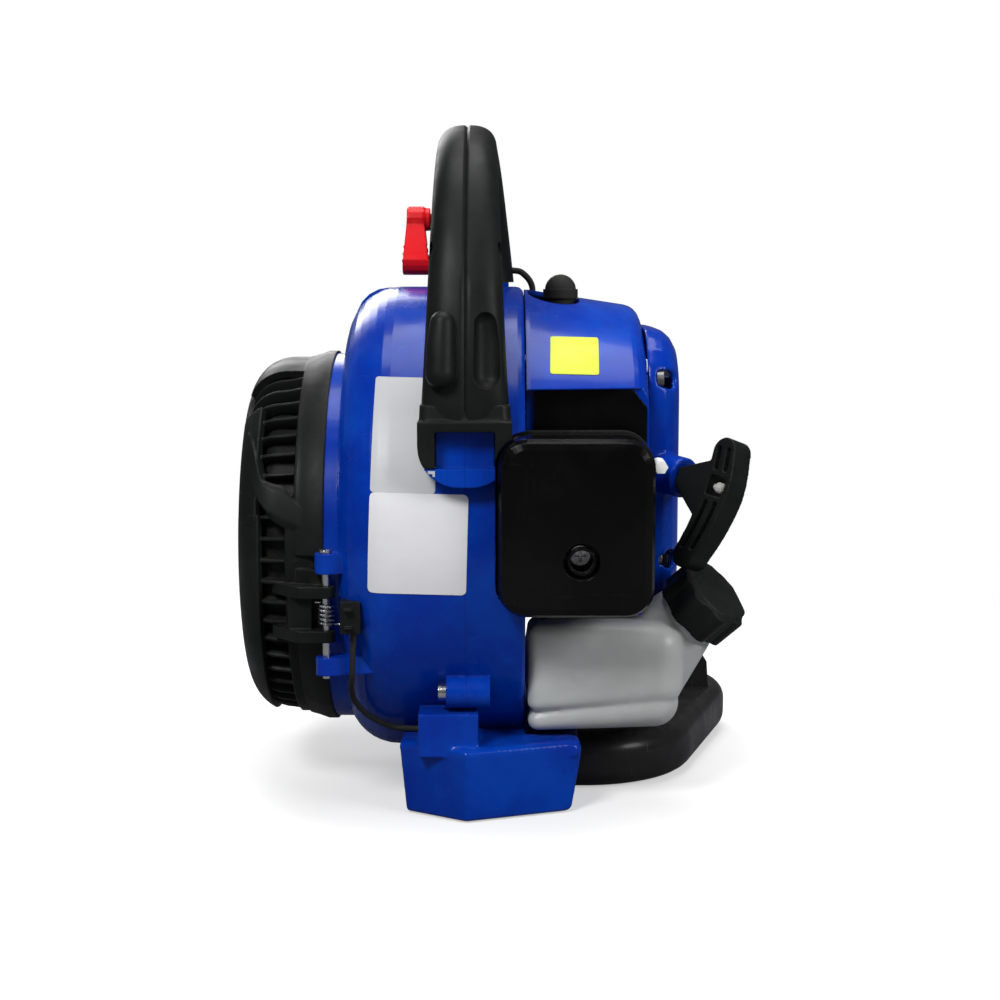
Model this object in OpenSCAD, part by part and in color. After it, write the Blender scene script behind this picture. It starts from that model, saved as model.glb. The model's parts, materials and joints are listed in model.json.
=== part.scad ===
// Handheld petrol leaf blower. The crank axis runs left to right, air leaves at the front
// and the machine stands on its foot. Forward is +Y, right is +X and the parting plane of
// the fan housing and of the handle is X = 0. The origin is on the ground under the crank.

/* [Fan housing] */
// Height of the crank axis above the ground
axis_z = 130; // [128:1:136]
// Scroll radius at the front, before it grows
scroll_r = 110.5; // [109:0.5:114]
// Growth of the scroll radius at each quarter turn
scroll_step = 10; // [9:0.5:11]
// Drop of the first scroll centre below the crank axis
scroll_drop = 4.5; // [3:0.5:6]
// Reach of the fan housing to the left of the parting plane
housing_left = 65; // [63:1:70]
// Reach of the fan housing to the right of the parting plane
housing_right = 30; // [29:0.5:32]
// Outer face of the wall behind the fan
back_wall_x = 12; // [10:0.5:13]
// Wall of the moulded housings
wall = 2.5; // [2:0.1:3]
// Radius of the left shoulder of the scroll
shoulder_r = 27; // [22:1:30]
// Radius of the right edge of the scroll
edge_r = 4; // [3:0.5:6]
// Outside radius of the inlet ring
ring_r = 100; // [99:0.5:102]
// Height of the inlet ring off the left wall
ring_h = 11; // [8:1:14]
// Radius of the air inlet
inlet_r = 70; // [66:1:74]
// Depth of the inlet cone behind the left wall
inlet_depth = 14; // [10:1:18]
// Outside radius of a screw boss
boss_r = 8; // [7:0.5:9]
// Radius of the housing screws
screw_r = 2.5; // [2:0.25:3]

/* [Outlet] */
// Where the duct starts to narrow, ahead of the crank axis
duct_start = 34; // [28:1:40]
// Where the duct becomes the round spigot
duct_end = 138; // [130:1:150]
// Outside radius of the outlet spigot
spigot_r = 35; // [32:0.5:38]
// Length of the outlet spigot
spigot_len = 36; // [30:1:45]
// Drop of the spigot's top below the top of the scroll
spigot_drop = 5; // [3:1:9]

/* [Fan] */
// Radius of the fan
fan_r = 98; // [94:0.5:100]
// Radius at which its blades begin
eye_r = 60; // [54:1:64]
// Width of its blades along the crank axis
blade_w = 52; // [46:1:56]
// Thickness of its blades and back plate
blade_t = 2.4; // [2:0.2:3]
// Number of blades
blade_count = 13; // [9:1:15]
// Radius of its hub
hub_r = 17; // [15:0.5:20]

/* [Inlet grille] */
// Radius of the grille
grille_r = 98; // [97:0.5:100]
// Depth of the grille
grille_depth = 44; // [40:1:48]
// Radius of the edge between its side and its face
grille_edge_r = 22; // [18:1:26]
// Width of the plain band at its rim
grille_band = 12; // [10:1:16]
// Distance between slats
slat_pitch = 7.6; // [7:0.2:9]
// Thickness of a slat
slat_t = 2.4; // [2:0.2:3]

/* [Engine] */
// Distance of the cylinder axis to the right of the parting plane
engine_x = 50; // [49:0.5:52]
// Cylinder bore radius
bore_r = 17; // [16:0.25:18]
// Throw of the crank
throw = 14; // [13:0.5:15]
// Length of the connecting rod between its eyes
rod_len = 50; // [48:0.5:52]
// Distance from the gudgeon pin to the piston crown
crown_h = 16; // [14:0.5:18]
// Radius of the crankshaft
shaft_r = 6; // [5:0.25:7]
// Number of cylinder fins
fin_count = 9; // [7:1:9]
// Distance between fins
fin_pitch = 5.6; // [5:0.2:6]
// Thickness of a fin
fin_t = 1.8; // [1.4:0.1:2.2]
// Half width of the fins across the machine
fin_half = 29; // [26:1:30]
// Radius of the flywheel
flywheel_r = 44; // [40:1:46]

/* [Engine cover] */
// Right side of the engine cover
cover_right = 93; // [91:0.5:96]
// Drop of its top at the right side
cover_slope = 8; // [5:1:10]
// Radius of its right edge
cover_edge_r = 9; // [6:1:12]
// Recessed rear panel that carries the air cleaner
panel_y = 78; // [76:1:84]
// Height of the top of that recess above the ground
recess_z = 216; // [210:1:222]
// Height of the bottom of the cover above the ground
cover_bottom = 99; // [97:1:104]
// Front of the engine cover
cover_front = 96; // [92:1:102]

/* [Starter] */
// Depth of the starter housing
starter_depth = 18; // [17:0.5:21]
// Height of its bottom above the ground
starter_bottom = 88; // [84:1:92]
// Height of its top above the ground
starter_top = 245; // [238:1:248]
// Half of its length
starter_half = 62; // [58:1:68]
// Radius of the rope on its drum
drum_r = 28; // [26:0.5:30]
// Radius of the rope
rope_r = 1.6; // [1.3:0.1:2]
// Length of the grip
grip_len = 55; // [50:1:60]
// Heading of the pull, from the right towards the rear
pull_yaw = 51; // [45:1:60]
// Fall of the pull
pull_fall = 6; // [0:1:10]
// Lean of the grip about the pull
grip_lean = 18; // [14:1:24]

/* [Air cleaner] */
// Width of the filter cover
filter_w = 76; // [72:1:80]
// Height of the filter cover
filter_h = 87; // [82:1:90]
// Depth of the filter cover
filter_d = 39; // [34:1:44]
// Radius of its corners
filter_r = 14; // [10:1:18]
// Distance of its middle to the right of the parting plane
filter_x = 54; // [53:0.5:56]
// Height of its middle above the ground
filter_z = 151.5; // [149:0.5:154]

/* [Fuel tank] */
// Left end of the tank
tank_left = 31; // [30.5:0.5:34]
// Length of the tank across the machine
tank_w = 80; // [72:1:82]
// Length of the tank along the machine
tank_l = 104; // [96:1:112]
// Height of the underside of the tank above the ground
tank_z = 33; // [31:1:36]
// Height of the tank
tank_h = 64; // [58:1:66]
// Radius of its corners
tank_r = 13; // [10:1:15]
// Wall of the tank
tank_wall = 2; // [1.6:0.1:2.6]
// Radius of the filler neck
neck_r = 17; // [15:0.5:18]
// Radius of the fuel cap
cap_r = 21.5; // [20:0.5:23]
// Height of the fuel cap
cap_h = 20; // [17:1:23]

/* [Handle] */
// Height of the top of the handle above the ground
handle_top = 351; // [345:1:358]
// Half width of the grip at the top
grip_half = 15.5; // [14:0.5:17]
// Half width of the rear leg at its foot
rear_half = 21.5; // [20:0.5:23]
// Half width of the front leg at its foot
front_half = 25; // [23:0.5:26]
// Half depth of the grip
grip_depth = 15; // [13:0.5:16]
// Wall of the handle
handle_wall = 3; // [2.5:0.1:3.5]

/* [Stand] */
// Height of the rear of the foot
foot_h = 38; // [36:1:40]
// Radius of the stand tube
tube_r = 14.5; // [12:0.5:15]
// Radius of its rear bend
tube_bend = 50; // [46:1:56]
// Turn of its rear bend
tube_turn = 72; // [68:1:76]
// Length of its straight side
tube_side = 85; // [80:1:90]
// Radius of its front bend
tube_front_bend = 38; // [34:1:42]

/* [Hidden] */
$fn = 64;
far = 400;
cut = 0.1;
seat = 0.3;
play = 0.05;

scroll_z = axis_z - scroll_drop;
scroll_top = scroll_z + scroll_r + 3 * scroll_step;
scroll_rear = scroll_r + scroll_step;
spigot_z = scroll_top - spigot_drop - spigot_r;
grille_x = -housing_left - ring_h - seat;

// --- shared shapes -----------------------------------------------------------------------

function unit(v) = v / norm(v);

// Points of an arc about c, from angle a0 to a1, in n steps
function arc(c, r, a0, a1, n) =
    [for (i = [0:n]) let (a = a0 + (a1 - a0) * i / n) [c[0] + r * cos(a), c[1] + r * sin(a)]];

// Outline of a rectangle from corner a to corner b with round corners of radius r
function round_box(a, b, r, n = 6) = concat(
    arc([b[0] - r, b[1] - r], r, 0, 90, n), arc([a[0] + r, b[1] - r], r, 90, 180, n),
    arc([a[0] + r, a[1] + r], r, 180, 270, n), arc([b[0] - r, a[1] + r], r, 270, 360, n));

// Outline of a bar with round ends between points a and b
function bar(a, b, r, n = 8) = let (t = atan2(b[1] - a[1], b[0] - a[0]))
    concat(arc(a, r, t + 90, t + 270, n), arc(b, r, t - 90, t + 90, n));

// Point at t on a cubic curve with four controls
function bezier(c, t) = pow(1 - t, 3) * c[0] + 3 * t * pow(1 - t, 2) * c[1]
    + 3 * t * t * (1 - t) * c[2] + pow(t, 3) * c[3];

// Smooth line through points, with n steps between neighbours
function smooth(p, n) = let (m = len(p) - 1) concat(
    [for (i = [0:m - 1], k = [0:n - 1]) let (t = k / n, a = p[max(i - 1, 0)], b = p[i],
        c = p[i + 1], d = p[min(i + 2, m)])
        0.5 * (2 * b + (c - a) * t + (2 * a - 5 * b + 4 * c - d) * t * t
            + (3 * b - a - 3 * c + d) * t * t * t)],
    [p[m]]);

function heading(p, i) = unit(p[min(i + 1, len(p) - 1)] - p[max(i - 1, 0)]);
function square_to(v, t) = unit(v - (v * t) * t);

// Side directions along a line of points, without twist
function sides(p, first) = [for (i = 0, v = square_to(first, heading(p, 0)); i < len(p);
    i = i + 1, v = square_to(v, heading(p, min(i, len(p) - 1)))) v];

// Closed solid through rings that all have the same number of points
module skin(rings) {
    n = len(rings[0]);
    last = (len(rings) - 1) * n;
    polyhedron(points = [for (ring = rings) each ring],
        faces = concat([[for (j = [0:n - 1]) j]], [[for (j = [n - 1:-1:0]) last + j]],
            [for (i = [0:len(rings) - 2], j = [0:n - 1]) [i * n + j, (i + 1) * n + j,
                i * n + (j + 1) % n]],
            [for (i = [0:len(rings) - 2], j = [0:n - 1]) [(i + 1) * n + j,
                (i + 1) * n + (j + 1) % n, i * n + (j + 1) % n]]), convexity = 6);
}

// Round tube of radius r along a line of points
module tube(p, r, n = 8, first = [0, 0, 1]) {
    v = sides(p, first);
    skin([for (i = [0:len(p) - 1]) let (u = cross(heading(p, i), v[i]))
        [for (j = [0:n - 1]) p[i] + r * (cos(360 * j / n) * v[i] + sin(360 * j / n) * u)]]);
}

// Least clear distance between parts of a tube that lie some points apart along it
function self_gap(p, r, apart) = min([for (i = [0:len(p) - apart - 1], j = [i + apart:len(p) - 1])
    norm(p[i] - p[j])]) - 2 * r;

// Turns a drawing so that its x runs forward, its y up and its height to the right
module facing_right() rotate([90, 0, 90]) children();

// Turns a drawing so that its x runs to the right, its y up and its height to the rear
module facing_rear() rotate([90, 0, 0]) children();

// Solid from an outline in forward and up, between x0 and x1
module across(x0, x1) translate([x0, 0, 0]) facing_right() linear_extrude(x1 - x0) children();

// Solid from an outline in right and up, between a rear and a front place
module along(y0, y1) translate([0, y1, 0]) facing_rear() linear_extrude(y1 - y0) children();

// Round bar of radius r about the crank axis between x0 and x1
module on_crank(x0, x1, r) translate([x0, 0, axis_z]) facing_right() cylinder(r = r, h = x1 - x0);

// Cylinder along x between x0 and x1 at a forward and up place
module cross_bar(x0, x1, y, z, r) translate([x0, y, z]) facing_right() cylinder(r = r, h = x1 - x0);

// Cylinder along y between y0 and y1 at a right and up place
module long_bar(y0, y1, x, z, r) translate([x, y1, z]) facing_rear() cylinder(r = r, h = y1 - y0);

// Screw with a socket head, its head at the origin and its shank running down
module cap_screw(r, length, head_h = 4) {
    difference() {
        cylinder(r = 1.8 * r, h = head_h);
        translate([0, 0, head_h / 2]) cylinder(r = r, h = head_h, $fn = 6);
    }
    translate([0, 0, -length]) cylinder(r = r, h = length + cut);
}

module half_space(side) translate([side < 0 ? -far : 0, -far, -far]) cube([far, 2 * far, 2 * far]);

// --- fan housing -------------------------------------------------------------------------

// Section of the scroll from its axis out, between two sides
function scroll_section(r, inset, right, edge) = concat(
    [[0, inset - housing_left]],
    arc([r - shoulder_r, shoulder_r - housing_left], shoulder_r - inset, -90, 0, 9),
    arc([r - edge, right - edge], max(edge - inset, 0.5), 0, 90, 3),
    [[0, right - inset]]);

// Section of the recess that takes the left of the engine
function recess_section(r) = [[0, back_wall_x], [r - wall, back_wall_x],
    [r - wall, housing_right + cut], [0, housing_right + cut]];

// Sweeps a section round the scroll and along its straight top
module scroll_sweep(top_len, section_a, section_b, section_c)
    translate([0, 0, scroll_z]) facing_right() {
        rotate(-90) rotate_extrude(angle = 180) polygon(section_a);
        translate([0, scroll_step, 0]) rotate(180) rotate_extrude(angle = 90) polygon(section_b);
        translate([scroll_step, scroll_step, 0]) {
            rotate(90) rotate_extrude(angle = 90) polygon(section_c);
            facing_right() linear_extrude(top_len - scroll_step) polygon(section_c);
        }
    }

module scroll_solid(inset, right, edge) scroll_sweep(duct_start,
    scroll_section(scroll_r, inset, right, edge),
    scroll_section(scroll_r + scroll_step, inset, right, edge),
    scroll_section(scroll_r + 2 * scroll_step, inset, right, edge));

module duct_solid(inset) {
    hull() {
        along(duct_start, duct_start + 2) polygon(round_box(
            [0.5 + inset - housing_left, spigot_z - spigot_r + inset],
            [back_wall_x - inset, scroll_top - inset - 0.5], shoulder_r - inset - 8, 5));
        long_bar(duct_end, duct_end + cut, 0, spigot_z, spigot_r - inset, $fn = 32);
    }
    long_bar(duct_end, duct_end + spigot_len + (inset > 0 ? 1 : 0), 0, spigot_z, spigot_r - inset);
}

// Places of the screws along the parting plane: forward and up
boss_out = 5.5;
boss_places = [
    [-(scroll_rear + boss_out) * cos(34), scroll_z + scroll_step - (scroll_rear + boss_out) * sin(34)],
    [(scroll_r + boss_out) * cos(58), scroll_z - (scroll_r + boss_out) * sin(58)],
    [scroll_r + boss_out, scroll_z],
    [duct_end - 14, spigot_z - spigot_r - 6],
    [duct_end - 14, spigot_z + spigot_r + 6]];
boss_left = 10;
boss_right = 12;

yoke_half = 23;
yoke_low = 180;
yoke_high = 203;
yoke_face = -scroll_rear - 7.5;
yoke_window = [14.5, yoke_high - 5];
handle_boss_low = 171;
pedestal_y = [46, 80];
pedestal_top = scroll_top + 2;

// Rounded block as wide as the yoke, between two heights, from y forward
module yoke_block(y, low, high) intersection() {
    along(y, -92) polygon(round_box([-yoke_half, handle_boss_low], [yoke_half, yoke_high + 40], 20, 8));
    translate([-far, -2 * far, low]) cube([2 * far, 2 * far, high - low]);
}

// Outside of the fan housing with its screw bosses and handle seats
module volute_outside() {
    scroll_solid(0, housing_right, edge_r);
    duct_solid(0);
    for (p = boss_places) cross_bar(-boss_left, boss_right, p[0], p[1], boss_r);
    yoke_block(yoke_face + 1, handle_boss_low, yoke_low);
    translate([seat - yoke_window[0], yoke_face + 10, yoke_low - 1])
        cube([2 * (yoke_window[0] - seat), 26, yoke_window[1] - seat - yoke_low + 1]);
    translate([-front_half + 3, pedestal_y[0], spigot_z])
        cube([2 * front_half - 6, pedestal_y[1] - pedestal_y[0], pedestal_top - spigot_z]);
}

module volute_inside() {
    scroll_solid(wall, back_wall_x, wall + 1);
    duct_solid(wall);
    scroll_sweep(duct_start - wall, recess_section(scroll_r),
        recess_section(scroll_r + scroll_step), recess_section(scroll_r + 2 * scroll_step));
}

hinge_x = -70;
hinge_y = -104;
hinge_r = 2;
lug_r = 5.5;
upper_lug = [125.5, 135.5];
lower_lug = [74, 83];

// Lug that holds the hinge pin, between two heights
module hinge_lug(z) translate([0, 0, z[0]]) linear_extrude(z[1] - z[0])
    polygon(bar([hinge_x, hinge_y], [-46, hinge_y + 8], lug_r));

module volute_outer_half() color("mediumblue") {
    difference() {
        union() {
            intersection() {
                volute_outside();
                half_space(-1);
            }
            on_crank(-housing_left - ring_h, 14 - housing_left, ring_r);
            hinge_lug(upper_lug);
            hinge_lug(lower_lug);
        }
        volute_inside();
        on_crank(-housing_left - ring_h - 1, -housing_left, ring_r - 7);
        on_crank(-housing_left - 1, 0, inlet_r);
        translate([hinge_x, hinge_y, lower_lug[0] - 1]) cylinder(r = hinge_r + play, h = 70);
        for (p = boss_places) cross_bar(-far, far, p[0], p[1], screw_r + play);
    }
    difference() {
        on_crank(-housing_left + cut, inlet_depth - housing_left, inlet_r + wall);
        on_crank(-housing_left, far, inlet_r);
    }
}

crank_hole_r = 20;
mount_bolt_r = 34;
mount_bolts = [45, 135, 225, 315];

module volute_inner_half() color("mediumblue") difference() {
    intersection() {
        volute_outside();
        half_space(1);
    }
    volute_inside();
    on_crank(0, housing_right, crank_hole_r + play);
    for (a = mount_bolts) cross_bar(0, housing_right, mount_bolt_r * cos(a),
        axis_z + mount_bolt_r * sin(a), screw_r + play);
    for (p = boss_places) cross_bar(-1, boss_right - 3, p[0], p[1], screw_r + play);
    filter_room();
}

// --- inlet grille ------------------------------------------------------------------------

// Section of the grille, from its axis out, drawn in by an inset
function grille_section(inset) = concat(
    [[0, inset > 0 ? -cut : 0], [grille_r - inset, inset > 0 ? -cut : 0]],
    arc([grille_r - grille_edge_r, grille_depth - grille_edge_r - 3], grille_edge_r - inset, 0, 76, 7),
    [[0, grille_depth - inset]]);

arm_low = [90.5, 96.5];
arm_high = [113, 119];
arm_bend = [hinge_x - 12, hinge_y];
arm_root = [grille_x - 18, hinge_y + 14];
lip_z = 155;
lower_band = 28;

module grille_dome(inset) translate([grille_x, 0, axis_z]) rotate([0, -90, 0])
    rotate_extrude() polygon(grille_section(inset));

// Slots between the slats, kept clear of the rim band and of the uprights
module grille_slots() for (i = [-12:11], bay = [-2:1]) {
    z = axis_z + i * slat_pitch;
    band = bay == -2 && z < lip_z ? lower_band : grille_band;
    translate([grille_x - grille_depth - 1, bay * 38.5 + 1.5 - (bay == -2 ? 30 : 0), z + slat_t])
        cube([grille_depth + 1 - band, bay == -2 ? 66 : bay == 1 ? 66 : 36, slat_pitch - slat_t]);
}

module inlet_grille() color("black") difference() {
    union() {
        difference() {
            grille_dome(0);
            grille_dome(wall);
            grille_slots();
        }
        for (z = [arm_low, arm_high]) translate([0, 0, z[0]]) linear_extrude(z[1] - z[0]) {
            polygon(bar([hinge_x, hinge_y], arm_bend, 4.4));
            polygon(bar(arm_bend, arm_root, 4.4));
        }
        translate([grille_x - 13, hinge_y + 1, arm_low[1] - 1])
            cube([12, 9, arm_high[0] - arm_low[1] + 2]);
    }
    translate([hinge_x, hinge_y, arm_low[0] - 1]) cylinder(r = hinge_r + play, h = 40);
    grille_dome(wall);
}

module hinge_pin() color("silver") translate([hinge_x, hinge_y, lower_lug[0] - 2]) {
    cylinder(r = hinge_r, h = upper_lug[1] - lower_lug[0] + 3);
    translate([0, 0, upper_lug[1] - lower_lug[0] + 2 + seat]) cylinder(r = 3.2, h = 1.5);
}

// Torsion spring between the two arms: one leg bears on the housing, the other on an arm
spring_turns = 5;
spring_wire = 0.6;
spring_coil_r = 3.6;
spring_low = arm_low[1] + 2.5;
spring_rise = 2.2;
spring_path = concat(
    [[hinge_x + 7.2, hinge_y + spring_coil_r - 1.2, spring_low],
        [hinge_x + 4, hinge_y + spring_coil_r - 0.2, spring_low]],
    [for (i = [0:8 * spring_turns]) [hinge_x + spring_coil_r * cos(90 - 45 * i),
        hinge_y + spring_coil_r * sin(90 - 45 * i), spring_low + i * spring_rise / 8]],
    [[hinge_x - 6, hinge_y + spring_coil_r + 0.2, spring_low + spring_turns * spring_rise + 0.1]]);

echo(hinge_spring_gap = self_gap(spring_path, spring_wire, 5));

module hinge_spring() color("silver") tube(spring_path, spring_wire, 6);

switch_z = [97, 113];
switch_rear = 3.5 - scroll_rear;
switch_left = 3 - housing_left;

module interlock_switch() color("black") difference() {
    union() {
        translate([switch_left, switch_rear, switch_z[0]]) cube([10, 22, switch_z[1] - switch_z[0]]);
        for (z = [switch_z[0] + 3, switch_z[1] - 4])
            translate([switch_left + 2, switch_rear - 4, z]) cube([4, 5, 0.8]);
    }
    scroll_solid(-seat, housing_right, edge_r);
}

// Safety lead from the switch down the left shoulder to the foot
lead_r = 1.5;
lead_y = switch_rear + 6.5;
lead_route = [[-56, lead_y, 96.6], [-56, lead_y, 93], [-56.5, lead_y, 84], [-57, lead_y + 2, 74],
    [-58, -101, 66], [-57, -91, 57], [-50, -83, 47], [-39, -80, 41], [-31, -80, 39.9], [-24.3, -80, 39.8]];

module interlock_lead() color("black") tube(smooth(lead_route, 4), lead_r, 8, [1, 0, 0]);

// --- fan ---------------------------------------------------------------------------------

fan_back = back_wall_x - wall - 4;
nose_x = -16;
hub_x = -10;

// Blade that curves back from the eye to the rim
module blade_outline() intersection() {
    difference() {
        translate([eye_r + 6, -26]) circle(r = 40 + blade_t / 2);
        translate([eye_r + 6, -26]) circle(r = 40 - blade_t / 2);
    }
    difference() {
        circle(r = fan_r - 0.5);
        circle(r = eye_r);
    }
    translate([eye_r - 20, -20]) square([80, 40]);
}

module impeller() color("dimgray") {
    translate([0, 0, axis_z]) facing_right() {
        for (i = [0:blade_count - 1]) rotate(360 * i / blade_count)
            translate([0, 0, fan_back - blade_w]) linear_extrude(blade_w - blade_t / 2) blade_outline();
        difference() {
            union() {
                translate([0, 0, fan_back - blade_t]) cylinder(r = fan_r, h = blade_t);
                translate([0, 0, hub_x]) cylinder(r = hub_r, h = fan_back - hub_x);
            }
            translate([0, 0, hub_x - 1]) cylinder(r = shaft_r + play, h = fan_back - hub_x + 2);
        }
    }
}

thread_r = 4;

// Nuts of the fan and of the flywheel, each with its washer
module shaft_nuts() color("silver") {
    difference() {
        union() {
            translate([hub_x - 7, 0, axis_z]) facing_right() cylinder(r = 7.5, h = 6, $fn = 6);
            on_crank(hub_x - 1.5, hub_x, 10);
        }
        on_crank(hub_x - 8, hub_x + 1, thread_r + play);
    }
    difference() {
        translate([flywheel_face, 0, axis_z]) facing_right() cylinder(r = 7.5, h = 4.5, $fn = 6);
        on_crank(flywheel_face - 1, crank_end, thread_r + play);
    }
}

// --- crankcase and crank -----------------------------------------------------------------

web_t = 7;
web_r = 25;
rod_w = 8;
web_gap = 0.4;
case_wall = 5;
bearing_r = 14;
bearing_w = 8;
seal_r = 12;
seal_w = 5;
case_in = rod_w / 2 + web_gap + web_t + 0.6;
left_bearing_x = engine_x - case_in - bearing_w;
right_bearing_x = engine_x + case_in;
case_left = back_wall_x;
case_right = right_bearing_x + bearing_w + seal_w + 1;
deck_z = axis_z + 34;
pin_z = axis_z + throw;
gudgeon_z = pin_z + rod_len;
crown_z = gudgeon_z + crown_h;
coil_lean = 40;
block_half = 21;
coil_arm_x = engine_x + block_half + 0.4;
coil_r = flywheel_r + 10;

module crankcase() color("silver") difference() {
    union() {
        on_crank(engine_x - case_in - case_wall, engine_x + case_in + case_wall, web_r + 7);
        on_crank(case_left, engine_x, bearing_r + 5);
        on_crank(engine_x, case_right, bearing_r + 4);
        on_crank(case_left, case_left + 6, mount_bolt_r + 7);
        on_crank(case_left - wall, case_left + 1, crank_hole_r);
        translate([engine_x - block_half, -24, axis_z]) cube([2 * block_half, 48, deck_z - axis_z]);
        translate([coil_arm_x, 0, axis_z]) rotate([coil_lean, 0, 0])
            translate([0, -9, 14]) cube([case_right - coil_arm_x, 18, coil_r - 7]);
    }
    on_crank(engine_x - case_in, engine_x + case_in, web_r + 1.5);
    translate([engine_x, 0, axis_z]) cylinder(r = bore_r + 1.6, h = 60);
    on_crank(left_bearing_x, engine_x, bearing_r);
    on_crank(engine_x, right_bearing_x + bearing_w, bearing_r);
    on_crank(left_bearing_x - seal_w, engine_x, seal_r);
    on_crank(engine_x, case_right + 1, seal_r);
    on_crank(0, engine_x, shaft_r + 1.5);
    for (a = mount_bolts) cross_bar(case_left - 1, case_left + 9, mount_bolt_r * cos(a),
        axis_z + mount_bolt_r * sin(a), screw_r + play);
}

module ring_on_crank(x0, x1, r_out, r_in) difference() {
    on_crank(x0, x1, r_out);
    on_crank(x0 - 1, x1 + 1, r_in);
}

module crank_bearings() color("silver")
    for (x = [left_bearing_x, right_bearing_x]) ring_on_crank(x, x + bearing_w, bearing_r, shaft_r);

module shaft_seals() color("saddlebrown")
    for (x = [left_bearing_x - seal_w, right_bearing_x + bearing_w])
        ring_on_crank(x, x + seal_w, seal_r, shaft_r);

flywheel_x = case_right + 2;
flywheel_w = 12;
flywheel_face = flywheel_x + flywheel_w - 4;
crank_end = flywheel_face + 5;

module crankshaft() color("silver") {
    inner = rod_w / 2 + web_gap;
    on_crank(nose_x, hub_x + 1, thread_r);
    on_crank(hub_x, engine_x - inner - 1, shaft_r);
    on_crank(engine_x - inner - web_t, engine_x - inner, web_r);
    on_crank(engine_x + inner, engine_x + inner + web_t, web_r);
    on_crank(engine_x + inner + 1, flywheel_face, shaft_r);
    on_crank(flywheel_face - 1, crank_end, thread_r);
}

crank_pin_r = 6;
rod_eye_r = 10;
small_eye_r = 7.5;
gudgeon_r = 4.5;

// The crankpin stays in the rod, and the webs clear it at either side
module connecting_rod() color("silver") {
    cross_bar(engine_x - rod_w / 2 - 0.2, engine_x + rod_w / 2 + 0.2, 0, pin_z, crank_pin_r);
    difference() {
        across(engine_x - rod_w / 2, engine_x + rod_w / 2) {
            translate([0, pin_z]) circle(r = rod_eye_r);
            translate([0, gudgeon_z]) circle(r = small_eye_r);
            translate([-4, pin_z]) square([8, rod_len]);
        }
        cross_bar(0, far, 0, gudgeon_z, gudgeon_r + play);
        for (x = [engine_x - rod_w / 2 - 1, engine_x + rod_w / 2 - 2])
            across(x, x + 3) polygon(bar([0, pin_z + 15], [0, gudgeon_z - 12], 1.8));
    }
}

module piston() color("lightgray") difference() {
    translate([engine_x, 0, crown_z - 32]) cylinder(r = bore_r - play, h = 32);
    translate([engine_x, 0, crown_z - 33]) cylinder(r = bore_r - 3.4, h = 27);
    cross_bar(0, far, 0, gudgeon_z, gudgeon_r + 0.02);
    for (z = [crown_z - 5, crown_z - 9]) translate([engine_x, 0, z]) difference() {
        cylinder(r = bore_r + 1, h = 1.5);
        translate([0, 0, -1]) cylinder(r = bore_r - 1.2, h = 4);
    }
}

module gudgeon_pin() color("silver")
    cross_bar(engine_x - bore_r + 2.5, engine_x + bore_r - 2.5, 0, gudgeon_z, gudgeon_r);

// --- cylinder and ignition ---------------------------------------------------------------

port_y = 36;
intake_z = 172;
exhaust_z = 178;
fins_top = crown_z + 18;
plug_r = 5;

module cylinder_head_fin(z) translate([0, 0, z]) linear_extrude(fin_t)
    polygon(round_box([engine_x - fin_half, -31], [engine_x + fin_half, 31], 9, 4));

module cylinder_block() {
    barrel_r = bore_r + 5;
    translate([engine_x - block_half, -24, deck_z]) cube([2 * block_half, 48, 5]);
    translate([engine_x, 0, deck_z]) cylinder(r = barrel_r, h = fins_top - deck_z);
    for (i = [0:fin_count - 1]) cylinder_head_fin(fins_top - fin_t - i * fin_pitch);
    for (port = [[-1, intake_z], [1, exhaust_z]]) {
        long_bar(port[0] < 0 ? -port_y : 0, port[0] < 0 ? 0 : port_y, engine_x, port[1], 11);
        along(port[0] < 0 ? -port_y : port_y - 4, port[0] < 0 ? 4 - port_y : port_y) polygon(
            round_box([engine_x - 18, port[1] - 9], [engine_x + 18, port[1] + 9], 6, 4));
    }
}

module engine_cylinder() color("darkgray") difference() {
    cylinder_block();
    translate([-far / 2, -24 - seat, deck_z - far]) cube([far, 48 + 2 * seat, far]);
    translate([engine_x, 0, deck_z - 1]) cylinder(r = bore_r, h = crown_z + 3 - deck_z);
    translate([engine_x, 0, crown_z]) cylinder(r = plug_r + 0.02, h = 30);
    translate([engine_x, 0, fins_top - 6]) cylinder(r = 11, h = 20);
    long_bar(-far, 0, engine_x, intake_z, 7.5);
    long_bar(0, far, engine_x, exhaust_z, 8);
}

plug_seat = fins_top - 6;
boot_top = scroll_top + 7;

module spark_plug() color("white") translate([engine_x, 0, 0]) {
    translate([0, 0, crown_z + 5]) cylinder(r = plug_r, h = plug_seat - crown_z - 5);
    translate([0, 0, plug_seat]) cylinder(r = 9, h = 8, $fn = 6);
    translate([0, 0, plug_seat + 7.9]) cylinder(r = 4.5, h = 16);
    translate([0, 0, plug_seat + 23.8]) cylinder(r = 3, h = 5);
}

lead_exit = [engine_x, 0, boot_top - 23];

// Rubber boot: a bell over the plug, a round dome on top and a spout for the lead
module plug_boot() color("black") difference() {
    union() {
        translate([engine_x, 0, plug_seat + 12]) cylinder(r = 8, h = boot_top - 7 - plug_seat - 12);
        translate([engine_x, 0, boot_top - 13]) cylinder(r = 9.5, h = 5);
        translate([engine_x, 0, boot_top - 8.5]) sphere(r = 8.5);
        long_bar(-15, 0, engine_x, lead_exit[2], 4.5);
    }
    translate([engine_x, 0, plug_seat + 11]) cylinder(r = 4.5 + play, h = 13);
    translate([engine_x, 0, plug_seat + 20]) cylinder(r = 3 + play, h = 9);
}

coil_gap = 0.4;
coil_x = flywheel_x - 1;

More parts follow.
